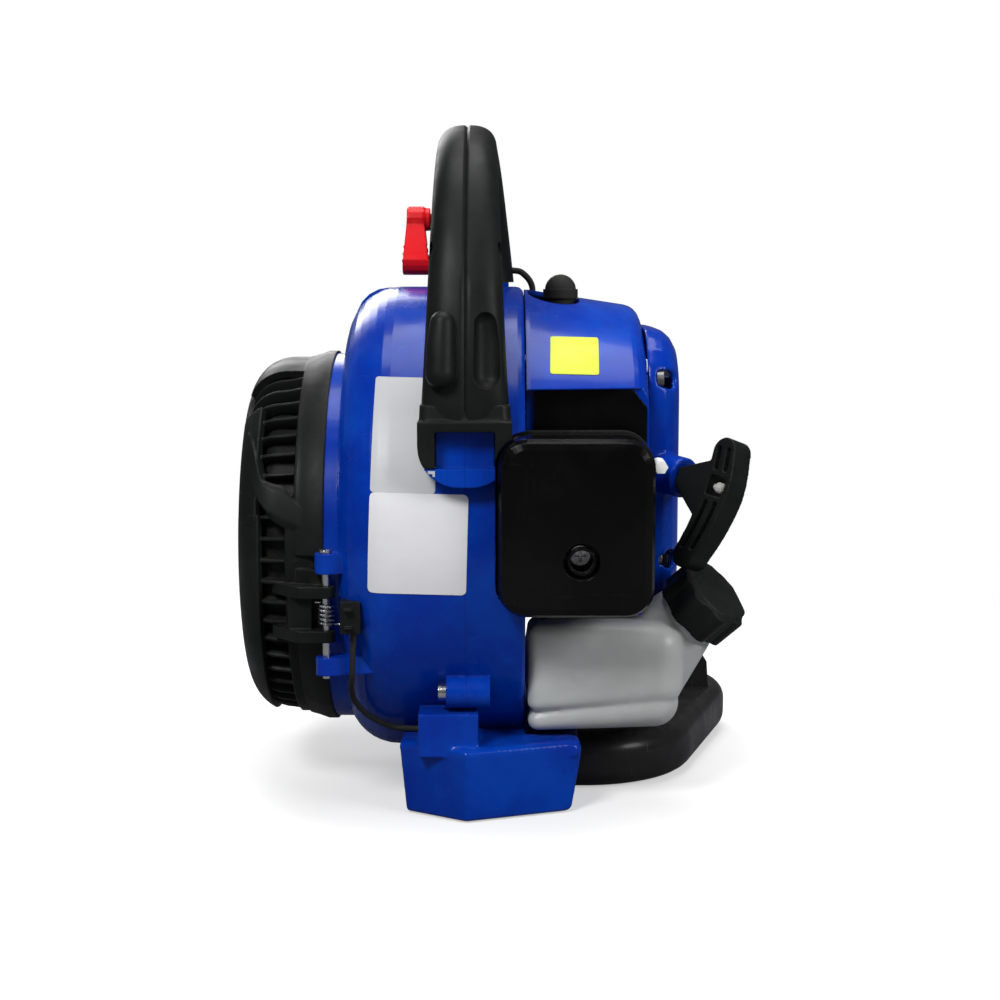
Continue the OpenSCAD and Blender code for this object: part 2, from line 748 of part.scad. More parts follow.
module ignition_coil() color("black") translate([0, 0, axis_z]) rotate([coil_lean, 0, 0]) {
    for (y = [-12, 5]) difference() {
        translate([coil_x + 2, y, 0]) cube([8, 7, coil_r + 4]);
        cross_bar(0, far, 0, 0, flywheel_r + coil_gap);
    }
    translate([coil_x + 2, -12, coil_r]) cube([8, 24, 6]);
    translate([coil_x, -9, coil_r + 5]) cube([12, 18, 12]);
    translate([coil_arm_x, -9, coil_r + 7]) cube([coil_x - coil_arm_x + 1, 18, 4]);
}

ignition_route = [[engine_x, -15.6, lead_exit[2]], [engine_x, -19, lead_exit[2]],
    [engine_x + 5, -25, lead_exit[2] - 2], [engine_x + 14, -29, lead_exit[2] - 5],
    [engine_x + 23, -32, lead_exit[2] - 10], [coil_x + 2, -35, lead_exit[2] - 24],
    [coil_x + 5, -44, lead_exit[2] - 42], [coil_x + 6, -53, axis_z + coil_r + 12],
    [coil_x + 6, -51.5, axis_z + coil_r + 6], [coil_x + 6, -46.2, axis_z + coil_r + 0.8]];

module ignition_lead() color("black") tube(smooth(ignition_route, 3), 2.4, 8, [1, 0, 0]);

module flywheel() color("silver") difference() {
    union() {
        on_crank(flywheel_x, flywheel_face, flywheel_r);
        cross_bar(flywheel_face - 1, pawl_x + pawl_t + 0.8, 0, axis_z + pawl_r, 1.5);
        for (a = [0:30:330]) translate([flywheel_x + 4, 0, axis_z]) rotate([a, 0, 0])
            translate([0, -1.2, 27]) cube([flywheel_w - 4, 2.4, flywheel_r - 28]);
    }
    on_crank(flywheel_x - 1, far, shaft_r + 0.01);
    on_crank(flywheel_x - 1, flywheel_x + 3, flywheel_r - 8);
}

pawl_r = 21;
pawl_x = flywheel_face + 0.4;
pawl_t = 3;

module starter_pawl() color("dimgray") difference() {
    across(pawl_x, pawl_x + pawl_t) polygon(concat(
        arc([0, axis_z + pawl_r], 3.4, 60, 250, 8), arc([0, axis_z], pawl_r - 5.6, 92, 55, 6),
        arc([0, axis_z], pawl_r - 2.8, 55, 70, 4)));
    cross_bar(0, far, 0, axis_z + pawl_r, 1.5 + play);
}

// --- carburettor and air cleaner ---------------------------------------------------------

spacer_t = 10;
carb_front = -port_y - spacer_t;
carb_rear = seat - panel_y;
base_front = -panel_y - 14;
base_t = 4;
cover_rear = base_front - base_t - filter_d;

module flange_plate(y0, y1, half, tall) along(y0, y1)
    polygon(round_box([engine_x - half, intake_z - tall], [engine_x + half, intake_z + tall], 6, 4));

module intake_insulator() color("dimgray") difference() {
    flange_plate(carb_front, -port_y, 18, 9);
    long_bar(-far, 0, engine_x, intake_z, 7.5);
}

arm_pivot = [engine_x, (carb_front + carb_rear) / 2];
carb_half = 15;
barb_at = [arm_pivot[1] - 8, arm_pivot[1] + 2];
primer_z = intake_z - 17;
primer_r = 8;
primer_push = 4;

module carburettor() color("lightgray") {
    mid_y = (carb_front + carb_rear) / 2;
    difference() {
        union() {
            flange_plate(carb_front - 5, carb_front, 18, 9);
            translate([engine_x - carb_half, carb_rear, intake_z - 13])
                cube([2 * carb_half, carb_front - carb_rear - 4, 26]);
            translate([engine_x + carb_half - 1, mid_y, intake_z - 4]) rotate([0, 90, 0])
                cylinder(r = 8, h = 5);
            translate([engine_x, mid_y, intake_z + 12]) cylinder(r = 5, h = 3);
            translate([engine_x - carb_half + 2, carb_rear + 2, intake_z - 17])
                cube([2 * carb_half - 4, carb_front - carb_rear - 8, 4.5]);
            for (y = barb_at) translate([engine_x - carb_half - 6, y, intake_z - 9])
                rotate([0, 90, 0]) cylinder(r = 1.8, h = 7);
            translate([engine_x, mid_y, primer_z - 9]) cylinder(r = primer_r + 2.4, h = 9.5);
        }
        translate([engine_x, mid_y, primer_z - 10]) cylinder(r = primer_r + 0.3, h = 10);
        long_bar(-far, 0, engine_x, intake_z, 8);
        translate([engine_x, mid_y, intake_z - 2]) cylinder(r = 2.5 + play, h = 30);
    }
}

// Throttle shaft with its arm and the barrel that holds the cable
arm_len = 15;
arm_z = intake_z + 15 + seat;

module throttle_arm() color("silver") {
    translate([arm_pivot[0], arm_pivot[1], intake_z]) cylinder(r = 2.5, h = arm_z - intake_z + 1);
    translate([0, 0, arm_z]) linear_extrude(2)
        polygon(bar(arm_pivot, arm_pivot + arm_len * [cos(30), -sin(30)], 4));
    translate([arm_pivot[0] + arm_len * cos(30), arm_pivot[1] - arm_len * sin(30), arm_z + 1.9])
        cylinder(r = 2.4, h = 4);
}

choke_pivot = [engine_x + 12, intake_z - 14];
tray_lip = 1;
choke_tab = [filter_x + filter_w / 2 + tray_lip + 4.2, intake_z + 6];
choke_t = 2.5;
choke_y = -panel_y - 4;

module choke_lever() color("gainsboro") difference() {
    union() {
        along(choke_y - choke_t, choke_y) {
            polygon(bar(choke_pivot, choke_tab, 3.2));
            translate(choke_pivot) circle(r = 6);
        }
        long_bar(choke_y - 18, choke_y - choke_t + cut, choke_tab[0], choke_tab[1], 3.6, $fn = 6);
    }
    long_bar(-far, 0, choke_pivot[0], choke_pivot[1], 2 + play);
}

// Rubber bulb that is pushed up into its cup
module primer_bulb() color("gainsboro") translate([engine_x, arm_pivot[1], primer_z - primer_push - seat]) {
    translate([0, 0, -7]) cylinder(r = primer_r, h = 7);
    intersection() {
        translate([0, 0, -6.9]) sphere(r = primer_r);
        translate([-far / 2, -far / 2, -far - 6.8]) cube(far);
    }
}

function filter_outline(grow) = round_box(
    [filter_x - filter_w / 2 - grow, filter_z - filter_h / 2 - grow],
    [filter_x + filter_w / 2 + grow, filter_z + filter_h / 2 + grow], filter_r + grow, 7);

// Room kept free round the air cleaner
module filter_room() along(-far, base_front + seat) polygon(filter_outline(tray_lip + seat));

cover_screw = [filter_x + 2.5, filter_z - 15.5];

// Tray that carries the filter and its cover, on a neck over the carburettor
module air_box() color("black") {
    long_bar(choke_y - choke_t - 1, choke_y + 1, choke_pivot[0], choke_pivot[1], 2);
    air_box_tray();
}

module air_box_tray() difference() {
    union() {
        along(base_front - base_t, base_front) polygon(filter_outline(tray_lip));
        along(base_front - cut, -panel_y) polygon(round_box(
            [engine_x - 20, intake_z - 20], [engine_x + 20, intake_z + 20], 8, 4));
        long_bar(base_front - base_t - 12, base_front, cover_screw[0], cover_screw[1], 6);
    }
    long_bar(-far, 0, engine_x, intake_z, 10);
    long_bar(-far, base_front - base_t + 1, cover_screw[0], cover_screw[1], screw_r + play);
    along(choke_y - choke_t - seat, choke_y + seat) translate(choke_pivot) {
        circle(r = 6.5);
        polygon([[0, 6.5], [0, -30], [30, -30], [30, 24]]);
    }
}

// Moulded cover with a soft front edge and a deep seat for its screw
module filter_cover() color("black") {
    edge = 5;
    depth_here = cover_rear + edge;
    difference() {
        hull() {
            along(cover_rear, cover_rear + 1) polygon(filter_outline(-edge));
            along(cover_rear + 1.4, cover_rear + 3) polygon(filter_outline(-1.6));
            along(depth_here, base_front - base_t) polygon(filter_outline(0));
        }
        hull() {
            along(cover_rear + wall, cover_rear + wall + 1) polygon(filter_outline(-edge - 1));
            along(depth_here, base_front) polygon(filter_outline(-wall));
        }
        long_bar(-far, base_front, cover_screw[0], cover_screw[1], 9);
    }
    difference() {
        long_bar(cover_rear + 0.4, base_front - base_t - 12 - seat, cover_screw[0], cover_screw[1], 11);
        long_bar(-far, base_front - base_t - 15, cover_screw[0], cover_screw[1], 9);
        long_bar(-far, 0, cover_screw[0], cover_screw[1], screw_r + 0.3);
    }
}

module filter_cover_screw() color("silver")
    translate([cover_screw[0], base_front - base_t - 15, cover_screw[1]]) facing_rear() {
        difference() {
            cylinder(r = 5, h = 3.5);
            for (a = [0, 90]) rotate(a) translate([-3, -0.6, 1.8]) cube([6, 1.2, 3]);
        }
        translate([0, 0, -12]) cylinder(r = screw_r, h = 12.1);
    }

module air_filter() color("olivedrab") difference() {
    along(base_front - base_t - 24, base_front - base_t - seat) polygon(filter_outline(-6));
    long_bar(-far, 0, cover_screw[0], cover_screw[1], 12);
}

// --- muffler and engine cover ------------------------------------------------------------

muffler_w = 42;
muffler_d = 40;
muffler_h = 52;
muffler_x = engine_x + 3.5;

function muffler_outline(grow) = round_box(
    [muffler_x - muffler_w / 2 - grow, exhaust_z - muffler_h / 2 - grow],
    [muffler_x + muffler_w / 2 + grow, exhaust_z + muffler_h / 2 + grow], 12 + grow, 5);

module muffler() color("silver") difference() {
    union() {
        along(port_y + 4, port_y + 4 + muffler_d) polygon(muffler_outline(0));
        along(port_y + 3 + muffler_d / 2, port_y + 5 + muffler_d / 2) polygon(muffler_outline(2));
        along(port_y, port_y + 5) polygon(round_box([engine_x - 18, exhaust_z - 9],
            [engine_x + 18, exhaust_z + 9], 6, 4));
        long_bar(port_y + 34, cover_front + 2, engine_x, outlet_z, 9);
    }
    long_bar(port_y - 1, port_y + 20, engine_x, exhaust_z, 8);
    long_bar(port_y + 40, far, engine_x, outlet_z, 7.4);
}

cover_left = housing_right + seat;
front_bend = 78;
cover_r = scroll_r + 2 * scroll_step - 1.5;
cover_z = scroll_z + scroll_step;

function cover_section(r, inset) = concat(
    [[0, cover_left - (inset > 0 ? 1 : 0)], [r - inset, cover_left - (inset > 0 ? 1 : 0)],
        [r - inset, cover_left + 2]],
    arc([r - cover_slope - cover_edge_r, cover_right - cover_edge_r], cover_edge_r - inset, 8, 90, 5),
    [[0, cover_right - inset]]);

// Filled engine cover: round over the rear, flat on top and round to the front, with a
// recess at the rear for the air cleaner
module cover_solid(inset) {
    open = inset > 0 ? 1 : 0;
    front_y = cover_front - front_bend;
    bend_z = cover_r - front_bend;
    drop = cover_z + bend_z - cover_bottom + open;
    difference() {
        translate([0, 0, cover_z]) facing_right() {
            translate([scroll_step, 0, 0]) {
                rotate(90) rotate_extrude(angle = 90) polygon(cover_section(cover_r, inset));
                facing_right() linear_extrude(front_y - scroll_step)
                    polygon(cover_section(cover_r, inset));
            }
            translate([front_y, bend_z, 0]) {
                rotate_extrude(angle = 90) polygon(cover_section(front_bend, inset));
                rotate([90, 0, 0]) linear_extrude(drop) polygon(cover_section(front_bend, inset));
            }
            translate([-panel_y - 5, bend_z - drop, cover_left - open])
                cube([front_y + panel_y + 5, drop, cover_right - cover_left + open - inset]);
        }
        translate([-far / 2, inset - far - panel_y, inset - far + recess_z]) cube(far);
    }
}

cable_hole = [35.5, 60];
side_hole = [-50, cover_bottom + 6, 50, 228];
outlet_z = exhaust_z - 12;

module engine_cover() color("mediumblue") difference() {
    cover_solid(0);
    cover_solid(wall);
    // hole over the spark plug boot
    translate([0, 0, axis_z + 80]) linear_extrude(far)
        polygon(bar([engine_x - 4, -10], [engine_x - 4, 8], 14, 12));
    across(cover_right - 2 * wall, cover_right + 1) polygon(round_box(
        [side_hole[0], side_hole[1]], [side_hole[2], side_hole[3]], 20));
    along(-panel_y - 1, wall + 1 - panel_y) polygon(round_box(
        [engine_x - 20 - seat, intake_z - 20 - seat], [engine_x + 20 + seat, intake_z + 20 + seat], 8, 4));
    long_bar(front_bend, far, engine_x, outlet_z, 10.5);
    for (z = [cover_bottom + 14:9:outlet_z - 18], x = [cover_left + 8, engine_x + 14])
        along(cover_front - 14, cover_front + 1) polygon(bar([x, z], [x + 18, z], 2, 4));
    for (p = cover_screws_at) cross_bar(cover_right - wall - 1, far, p[0], p[1], screw_r + play);
    translate([cable_hole[0], cable_hole[1], 200]) cylinder(r = 2.6, h = far);
    along_neck(-60) cylinder(r = neck_r + 6, h = 120);
}

// --- starter -----------------------------------------------------------------------------

starter_x = cover_right + seat;
starter_face = starter_x + starter_depth;
starter_round = 18;
cover_screws_at = [[-starter_half + 6, 125], [-starter_half + 6, starter_top - 26],
    [starter_half - 6, 142], [starter_half - 6, starter_top - 26]];

// Outline of the starter housing, drawn in
function starter_outline(inset) = round_box([inset - starter_half, starter_bottom + inset],
    [starter_half - inset, starter_top - inset], 36 - inset, 6);

module starter_dome(inset) hull() {
    across(starter_x - (inset > 0 ? 1 : 0), starter_x + 4) polygon(starter_outline(inset));
    for (a = [22.5:22.5:90]) {
        x = starter_x + 4 + (starter_depth - 4.2 - inset) * sin(a);
        across(x, x + 0.2) polygon(starter_outline(inset + starter_round * (1 - cos(a))));
    }
}

pull = [cos(pull_yaw) * cos(pull_fall), -sin(pull_yaw) * cos(pull_fall), -sin(pull_fall)];
guide_root = [starter_x + 8, 4.5 - starter_half, 171];
guide_len = 17;
guide_r = 10.5;

// Places a drawing at the rope guide with its x along the pull and its z along the grip
module at_guide(out) translate(guide_root + out * pull)
    rotate([-grip_lean, pull_fall, -pull_yaw]) children();

module starter_housing() color("mediumblue") {
    difference() {
        union() {
            starter_dome(0);
            at_guide(-6) rotate([0, 90, 0]) cylinder(r = guide_r, h = guide_len + 6);
        }
        difference() {
            starter_dome(wall);
            at_guide(-6) rotate([0, 90, 0]) cylinder(r = 5, h = guide_len + 6);
        }
        at_guide(-20) rotate([0, 90, 0]) cylinder(r = rope_r + 1.6, h = guide_len + 40);
        at_guide(-15) rotate([0, 90, 0]) cylinder(r1 = 9, r2 = rope_r + 1.6, h = 14);
        at_guide(guide_len - 3) rotate([0, 90, 0]) cylinder(r1 = rope_r + 1.6, r2 = rope_r + 4, h = 3.1);
        translate([starter_x - far, -far / 2, 0]) cube(far);
        for (a = [0:24:336]) translate([starter_face - wall - 1, 0, axis_z]) rotate([a, 0, 0])
            translate([0, -2, 20]) cube([wall + 2, 4, 17]);
        for (p = cover_screws_at) cross_bar(0, far, p[0], p[1], screw_r + play);
        for (p = cover_screws_at) cross_bar(starter_x + 5, far, p[0], p[1], 5);
    }
    for (p = cover_screws_at) difference() {
        intersection() {
            cross_bar(starter_x, starter_x + 5, p[0], p[1], 5.4);
            starter_dome(0.5);
        }
        cross_bar(0, far, p[0], p[1], screw_r + play);
    }
    difference() {
        on_crank(drum_x + 0.1, starter_face - wall + 0.5, post_r);
        on_crank(0, starter_face - wall - 1, 2 + play);
    }
}

post_r = 6;
drum_screw_h = 2.4;
drum_x = crank_end + 0.8 + drum_screw_h;
drum_w = 8;
groove_w = 2 * rope_r + 0.6;
hub_in = 12.5;
hub_out = 14.8;

module rope_drum() color("whitesmoke") difference() {
    union() {
        on_crank(drum_x, drum_x + drum_w, drum_r + 6);
        ring_on_crank(pawl_x, drum_x + 1, hub_out, hub_in);
    }
    ring_on_crank(drum_x + (drum_w - groove_w) / 2, drum_x + (drum_w + groove_w) / 2,
        drum_r + 7, drum_r - rope_r);
    on_crank(0, far, post_r + play);
    for (a = [0:60:300]) translate([pawl_x - 1, 0, axis_z]) rotate([a, 0, 0])
        translate([0, -2, hub_in + 0.6]) cube([5, 4, 3]);
}

// Screw with a wide head that keeps the drum on its post
module drum_screw() color("silver") {
    on_crank(drum_x - drum_screw_h, drum_x, 9);
    on_crank(drum_x - cut, starter_face - wall - 2, 2);
}

module rope_winding() color("white") ring_on_crank(drum_x + (drum_w - groove_w) / 2 + 0.2,
    drum_x + (drum_w + groove_w) / 2 - 0.2, drum_r + rope_r, drum_r - rope_r + play);

// Flat spiral of spring strip between the post and the housing
spiral_turns = 6;
spiral_in = post_r + 1;
spiral_out = 24;
strip_t = 0.8;
function spiral(grow) = [for (i = [0:20 * spiral_turns]) let (r = spiral_in + grow
    + (spiral_out - spiral_in) * i / (20 * spiral_turns)) [r * cos(18 * i), r * sin(18 * i)]];

module rewind_spring() color("slategray") translate([drum_x + drum_w + seat, 0, axis_z])
    facing_right() linear_extrude(starter_face - wall - drum_x - drum_w - 2 * seat)
        polygon(concat(spiral(0), [for (i = [20 * spiral_turns:-1:0]) spiral(strip_t)[i]]));

grip_at = guide_len + 28;
grip_up = 18;
grip_bend = 90;
grip_t = 13;
grip_w = 9;

function grip_mid(z) = grip_at - z * z / (2 * grip_bend);
function grip_side(z) = grip_w * (z < 0 ? 1 + 0.22 * z / (grip_len - grip_up) : 1 - 0.2 * z / grip_up);

module grip_slot(z0, z1, shift, w) polygon(concat(
    [for (k = [0:4]) let (z = z0 + (z1 - z0) * k / 4) [grip_mid(z) + shift - w / 2, z]],
    [for (k = [4:-1:0]) let (z = z0 + (z1 - z0) * k / 4) [grip_mid(z) + shift + w / 2, z]]));

// Curved grip with a neck towards the rope, slots and a window over the knot
module starter_grip() color("black") at_guide(0) rotate([90, 0, 0]) difference() {
    low = grip_up - grip_len;
    translate([0, 0, -grip_t / 2]) linear_extrude(grip_t) difference() {
        polygon(concat([for (z = [low + 5, -24, -17]) [grip_mid(z) - grip_side(z), z]],
                [[guide_len + seat, -4.5], [guide_len + seat, 4.5]],
                [for (z = [12, 15]) [grip_mid(z) - grip_side(z), z]],
                arc([grip_mid(grip_up), grip_up], grip_side(grip_up), 180, 0, 12),
                [for (k = [7:-1:1]) let (z = low + grip_len * k / 8) [grip_mid(z) + grip_side(z), z]],
                arc([grip_mid(low), low], grip_side(low), 0, -180, 12)));
        for (shift = [-3.2, 3.2]) {
            grip_slot(8, grip_up + 2, shift, 2.6);
            grip_slot(low + 3, -8, shift, 2.6);
        }
        translate([grip_at - 5.5, -5]) square([11, 10]);
    }
    rotate([0, 90, 0]) cylinder(r = rope_r + 0.4, h = grip_at);
}

rope_out = drum_r + rope_r + 1.9;
rope_route = concat([for (a = [250, 230, 210])
        [drum_x + drum_w / 2, rope_out * cos(a), axis_z + rope_out * sin(a)]],
    [[drum_x + drum_w / 2, -37, axis_z + 4], [drum_x + drum_w / 2, -43, axis_z + 20],
    [drum_x + drum_w / 2 - 0.6, -47, axis_z + 34], guide_root - 7 * pull, guide_root - 3 * pull],
    [for (t = [2, guide_len / 2, guide_len, grip_at - 4]) guide_root + t * pull]);

module starter_rope() color("white") {
    tube(smooth(rope_route, 3), rope_r, 8, [1, 0, 0]);
    translate(guide_root + (grip_at - 2.2) * pull) sphere(r = 3, $fn = 24);
}

// --- fuel --------------------------------------------------------------------------------

tank_mid_y = -44;
tank_drop = 22;
tank_top_z = tank_z + tank_h - tank_r;
tank_ends = [[tank_mid_y - tank_l / 2 + tank_r, tank_top_z], [-70, tank_top_z],
    [tank_mid_y + tank_l / 2 - tank_r, tank_top_z - tank_drop]];
tank_right = tank_left + tank_w;
cap_tilt = 48.7;
cap_yaw = 30.3;
cap_axis = [sin(cap_tilt) * cos(cap_yaw), -sin(cap_tilt) * sin(cap_yaw), cos(cap_tilt)];
neck_end = [tank_right + 5, -71.5, tank_z + tank_h + 2];
collar_h = 9;

module along_neck(out) translate(neck_end + out * cap_axis) rotate([0, cap_tilt, -cap_yaw]) children();

// Blow-moulded body and the shoulder that leads to the filler neck
module tank_solid(inset) {
    r = tank_r - inset;
    hull() for (x = [tank_left + tank_r, tank_right - tank_r], p = tank_ends) {
        translate([x, p[0], tank_z + tank_r]) sphere(r = r, $fn = 16);
        translate([x, p[0], p[1]]) sphere(r = r, $fn = 16);
    }
    hull() {
        translate([tank_right - 28, -66, tank_z + tank_h - 28]) sphere(r = 22 - inset, $fn = 24);
        translate([tank_right - 21.5, -64, tank_z + 24]) sphere(r = 20 - inset, $fn = 20);
        along_neck(-6 - inset) cylinder(r = neck_r + 1.5 - inset, h = 2, $fn = 32);
    }
    along_neck(-8) cylinder(r = neck_r - inset, h = collar_h + 8 + (inset > 0 ? 1 : 0));
}

module fuel_tank() color("lightgray") difference() {
    tank_solid(0);
    tank_solid(tank_wall);
    translate([grommet[0], grommet[1], tank_top - 12]) cylinder(r = grommet_r + play, h = 20);
}

module cap_gasket() color("dimgray") along_neck(collar_h + seat) difference() {
    cylinder(r = neck_r, h = 2);
    translate([0, 0, -1]) cylinder(r = neck_r - 4, h = 4);
}

// Lobed screw cap over the collar of the neck
module fuel_cap() color("black") along_neck(0) difference() {
    union() {
        translate([0, 0, 0.5]) cylinder(r = cap_r - 2, h = cap_h - 1.5);
        translate([0, 0, cap_h - 1.1]) cylinder(r = cap_r - 4, h = 1.1);
        for (a = [0:45:315]) rotate(a) translate([cap_r - 6.5, 0, 0.5]) cylinder(r = 6.5, h = cap_h - 2);
    }
    cylinder(r = neck_r + 0.4, h = collar_h + seat + 2);
}

line_r = 2.2;
grommet = [tank_left + 14, -68];
grommet_r = 5;
tank_top = tank_z + tank_h;
carb_barb_x = engine_x - carb_half - 6.6;
line_routes = [
    [[carb_barb_x, barb_at[0], intake_z - 9], [carb_barb_x - 3, barb_at[0], intake_z - 9],
        [carb_barb_x - 6, barb_at[0], intake_z - 15], [27, -68, 132], [33, grommet[1], 112],
        [grommet[0] - 2.4, grommet[1], tank_top + 2]],
    [[carb_barb_x, barb_at[1], intake_z - 9], [carb_barb_x - 3, barb_at[1], intake_z - 9],
        [carb_barb_x - 5, barb_at[1], intake_z - 16], [30, -56, 130], [44, -62, 112],
        [grommet[0] + 2.4, grommet[1], tank_top + 2]]];

// Fuel and return lines with the grommet that seals them in the tank
module fuel_lines() color("darkkhaki") {
    for (route = line_routes) tube(smooth(route, 4), line_r, 8, [1, 0, 0]);
    translate([grommet[0], grommet[1], tank_top - tank_wall - 1]) {
        cylinder(r = grommet_r, h = tank_wall + 2);
        translate([0, 0, tank_wall + 1]) cylinder(r = grommet_r + 2, h = 3.2);
    }
}

module fuel_filter() color("white") {
    translate([grommet[0], grommet[1], tank_z + tank_wall + 6]) {
        cylinder(r = 6, h = 14);
        cylinder(r = 2, h = tank_h - 2 * tank_wall - 7.2);
    }
}

// --- stand -------------------------------------------------------------------------------

foot_left = 34;
foot_right = 59;
foot_rear = 118;
foot_corner = 97;
foot_front = 134;
foot_front_h = 32;
rear_socket_y = -42;
socket_x = 45;

// Plan of the foot, pointed at the rear, drawn in
function foot_plan(e) = [[0, e - foot_rear], [foot_right - 1.4 * e, 0.6 * e - foot_corner],
    [foot_right - e - 4, foot_front - 2 * e], [e - foot_left + 8, foot_front - 2 * e],
    [0.8 * e - foot_left, 0.6 * e - foot_corner]];

bend_start = foot_right + 3.5;
rear_bend_at = [bend_start, rear_socket_y + tube_bend];
rear_bend = arc(rear_bend_at, tube_bend, -90, tube_turn - 90, 8);
front_bend_at = rear_bend[8] + tube_side * [cos(tube_turn), sin(tube_turn)]
    + tube_front_bend * [-sin(tube_turn), cos(tube_turn)];
front_socket_y = front_bend_at[1] + tube_front_bend;

// Bent stand tube: out of the foot, forward beside the machine and back into the foot
module tube_solid(grow) tube([for (p = concat([[socket_x, rear_socket_y]], rear_bend,
    arc(front_bend_at, tube_front_bend, tube_turn - 90, 90, 10), [[socket_x, front_socket_y]]))
    [p[0], p[1], tube_r]], tube_r + grow, 24);

module stand_foot() color("mediumblue") difference() {
    union() {
        hull() {
            linear_extrude(1) polygon(foot_plan(4));
            translate([0, 0, foot_h - 4]) linear_extrude(4) polygon(foot_plan(0));
        }
        translate([-24, -112, foot_h - 5]) cube([30, 40, 22]);
    }
    translate([-far / 2, 0, foot_front_h]) cube(far);
    translate([housing_right, tank_mid_y - tank_l / 2 - 3, tank_z - seat]) cube(far);
    scroll_solid(-seat, housing_right, edge_r);
    tube_solid(seat);
    for (p = boss_places) cross_bar(-boss_left - 4.6, boss_right + 1, p[0], p[1], boss_r + seat);
}

module stand_tube() color("black") tube_solid(0);

bracket_y = starter_half;
bracket_t = 3;

module tube_bracket() color("gray") difference() {
    along(bracket_y, bracket_y + bracket_t) polygon([[118, tube_r], [142, tube_r], [140, 44],
        [starter_face - 3, 96], [starter_face - 6, 130], [starter_x + 1, 130], [starter_x + 1, 92]]);
    tube_solid(0.1);
}

// --- handle ------------------------------------------------------------------------------

leg_y = 4.5 - scroll_rear;
front_leg_y = 63;
bar_z = handle_top - grip_depth;

module handle_yoke() color("black") difference() {
    yoke_block(yoke_face, yoke_low + seat, yoke_high);
    translate([-yoke_window[0], -2 * far, 0]) cube([2 * yoke_window[0], 2 * far, yoke_window[1]]);
    scroll_solid(-seat, housing_right, edge_r);
    filter_room();
}

rear_curve = [[leg_y, yoke_high + seat], [leg_y, 262], [-84, bar_z], [-22, bar_z]];
front_curve = [[-22, bar_z], [28, bar_z], [front_leg_y, 318],
    [front_leg_y, pedestal_top + seat]];
rings = 12;

// Centre of the handle, and its half width and half depth, at s from 0 to 2
function handle_mid(s) = s <= 1 ? bezier(rear_curve, s) : bezier(front_curve, s - 1);
function handle_half(s) = s <= 1 ? grip_half + (rear_half - grip_half) * pow(1 - s, 1.6)
    : grip_half + (front_half - grip_half) * pow(s - 1, 1.6);
function handle_deep(s) = s <= 1 ? grip_depth - 4 * pow(1 - s, 2) : grip_depth + 1.5 * pow(s - 1, 2);
function handle_heading(s) = let (a = handle_mid(max(s - 0.01, 0)), b = handle_mid(min(s + 0.01, 2)))
    unit(b - a);
function soft(v) = sign(v) * pow(abs(v), 0.72);

// Ring of the handle at s over a range of angles, drawn in
function handle_ring(s, a0, a1, n, inset) = let (m = handle_mid(s), h = handle_heading(s),
    w = handle_half(s) - inset, d = handle_deep(s) - inset)
    [for (k = [n:-1:0]) let (a = a0 + (a1 - a0) * k / n, out = d * soft(sin(a)))
        [w * soft(cos(a)), m[0] - out * h[1], m[1] + out * h[0]]];

module handle_half_shell(side) {
    turn = side > 0 ? 0 : 180;
    difference() {
        skin([for (i = [0:2 * rings]) handle_ring(i / rings, turn - 90, turn + 90, 10, 0)]);
        skin([for (s = concat([for (i = [4:2 * rings - 1]) i / rings], [1.975]))
            handle_ring(s, 15, 345, 11, handle_wall)]);
        // scoops over the screws of the rear leg
        hull() {
            translate([side * 11, leg_y - 9, 247]) sphere(r = 5.5, $fn = 24);
            translate([side * 11.5, leg_y - 15, 222]) sphere(r = 6.5, $fn = 24);
        }
        trigger_room();
        switch_room();
        cross_bar(-far, 0, lever_pivot[0], lever_pivot[1], 3 + play);
        cross_bar(-pin_half, pin_half, trigger_pivot[0], trigger_pivot[1], 2 + play);
        cross_bar(0, far, cable_exit[1], cable_exit[2], 2.3);
        for (p = handle_screw_places) cross_bar(11, far, p[0], p[1], 4.2);
        for (p = handle_screw_places) cross_bar(-8, 12, p[0], p[1], 2 + play);
    }
    for (p = handle_screw_places) difference() {
        cross_bar(side > 0 ? 0 : -13, side > 0 ? 11 : 0, p[0], p[1], 5);
        cross_bar(-8, far, p[0], p[1], 2 + play);
    }
}

handle_screw_places = [[leg_y + 15, 285], [-40, bar_z + 2], [69, 295]];
pin_half = 14;
cable_exit = [24, 61, 275];

module handle_left_half() color("black") handle_half_shell(-1);
module handle_right_half() color("black") handle_half_shell(1);

module handle_screws() color("silver") for (p = handle_screw_places)
    translate([11, p[0], p[1]]) rotate([0, 90, 0]) cap_screw(2, 18, 2.5);

// --- controls ----------------------------------------------------------------------------

trigger_pivot = [20, bar_z - 6];
trigger_half = 5.5;

module trigger_room() translate([-trigger_half - seat, trigger_pivot[0] - 58, bar_z - 30])
    cube([2 * trigger_half + 2 * seat, 66, 24]);

module throttle_trigger() color("black") difference() {
    across(-trigger_half, trigger_half) polygon(concat(
        arc(trigger_pivot, 5, 100, -60, 6),
        arc([trigger_pivot[0] - 22, bar_z - 12 - 62], 46, 78, 104, 7),
        [[trigger_pivot[0] - 52, bar_z - 26], [trigger_pivot[0] - 50, bar_z - 8]]));
    cross_bar(-far, far, trigger_pivot[0], trigger_pivot[1], 2 + play);
}

lever_pivot = [57, 304];

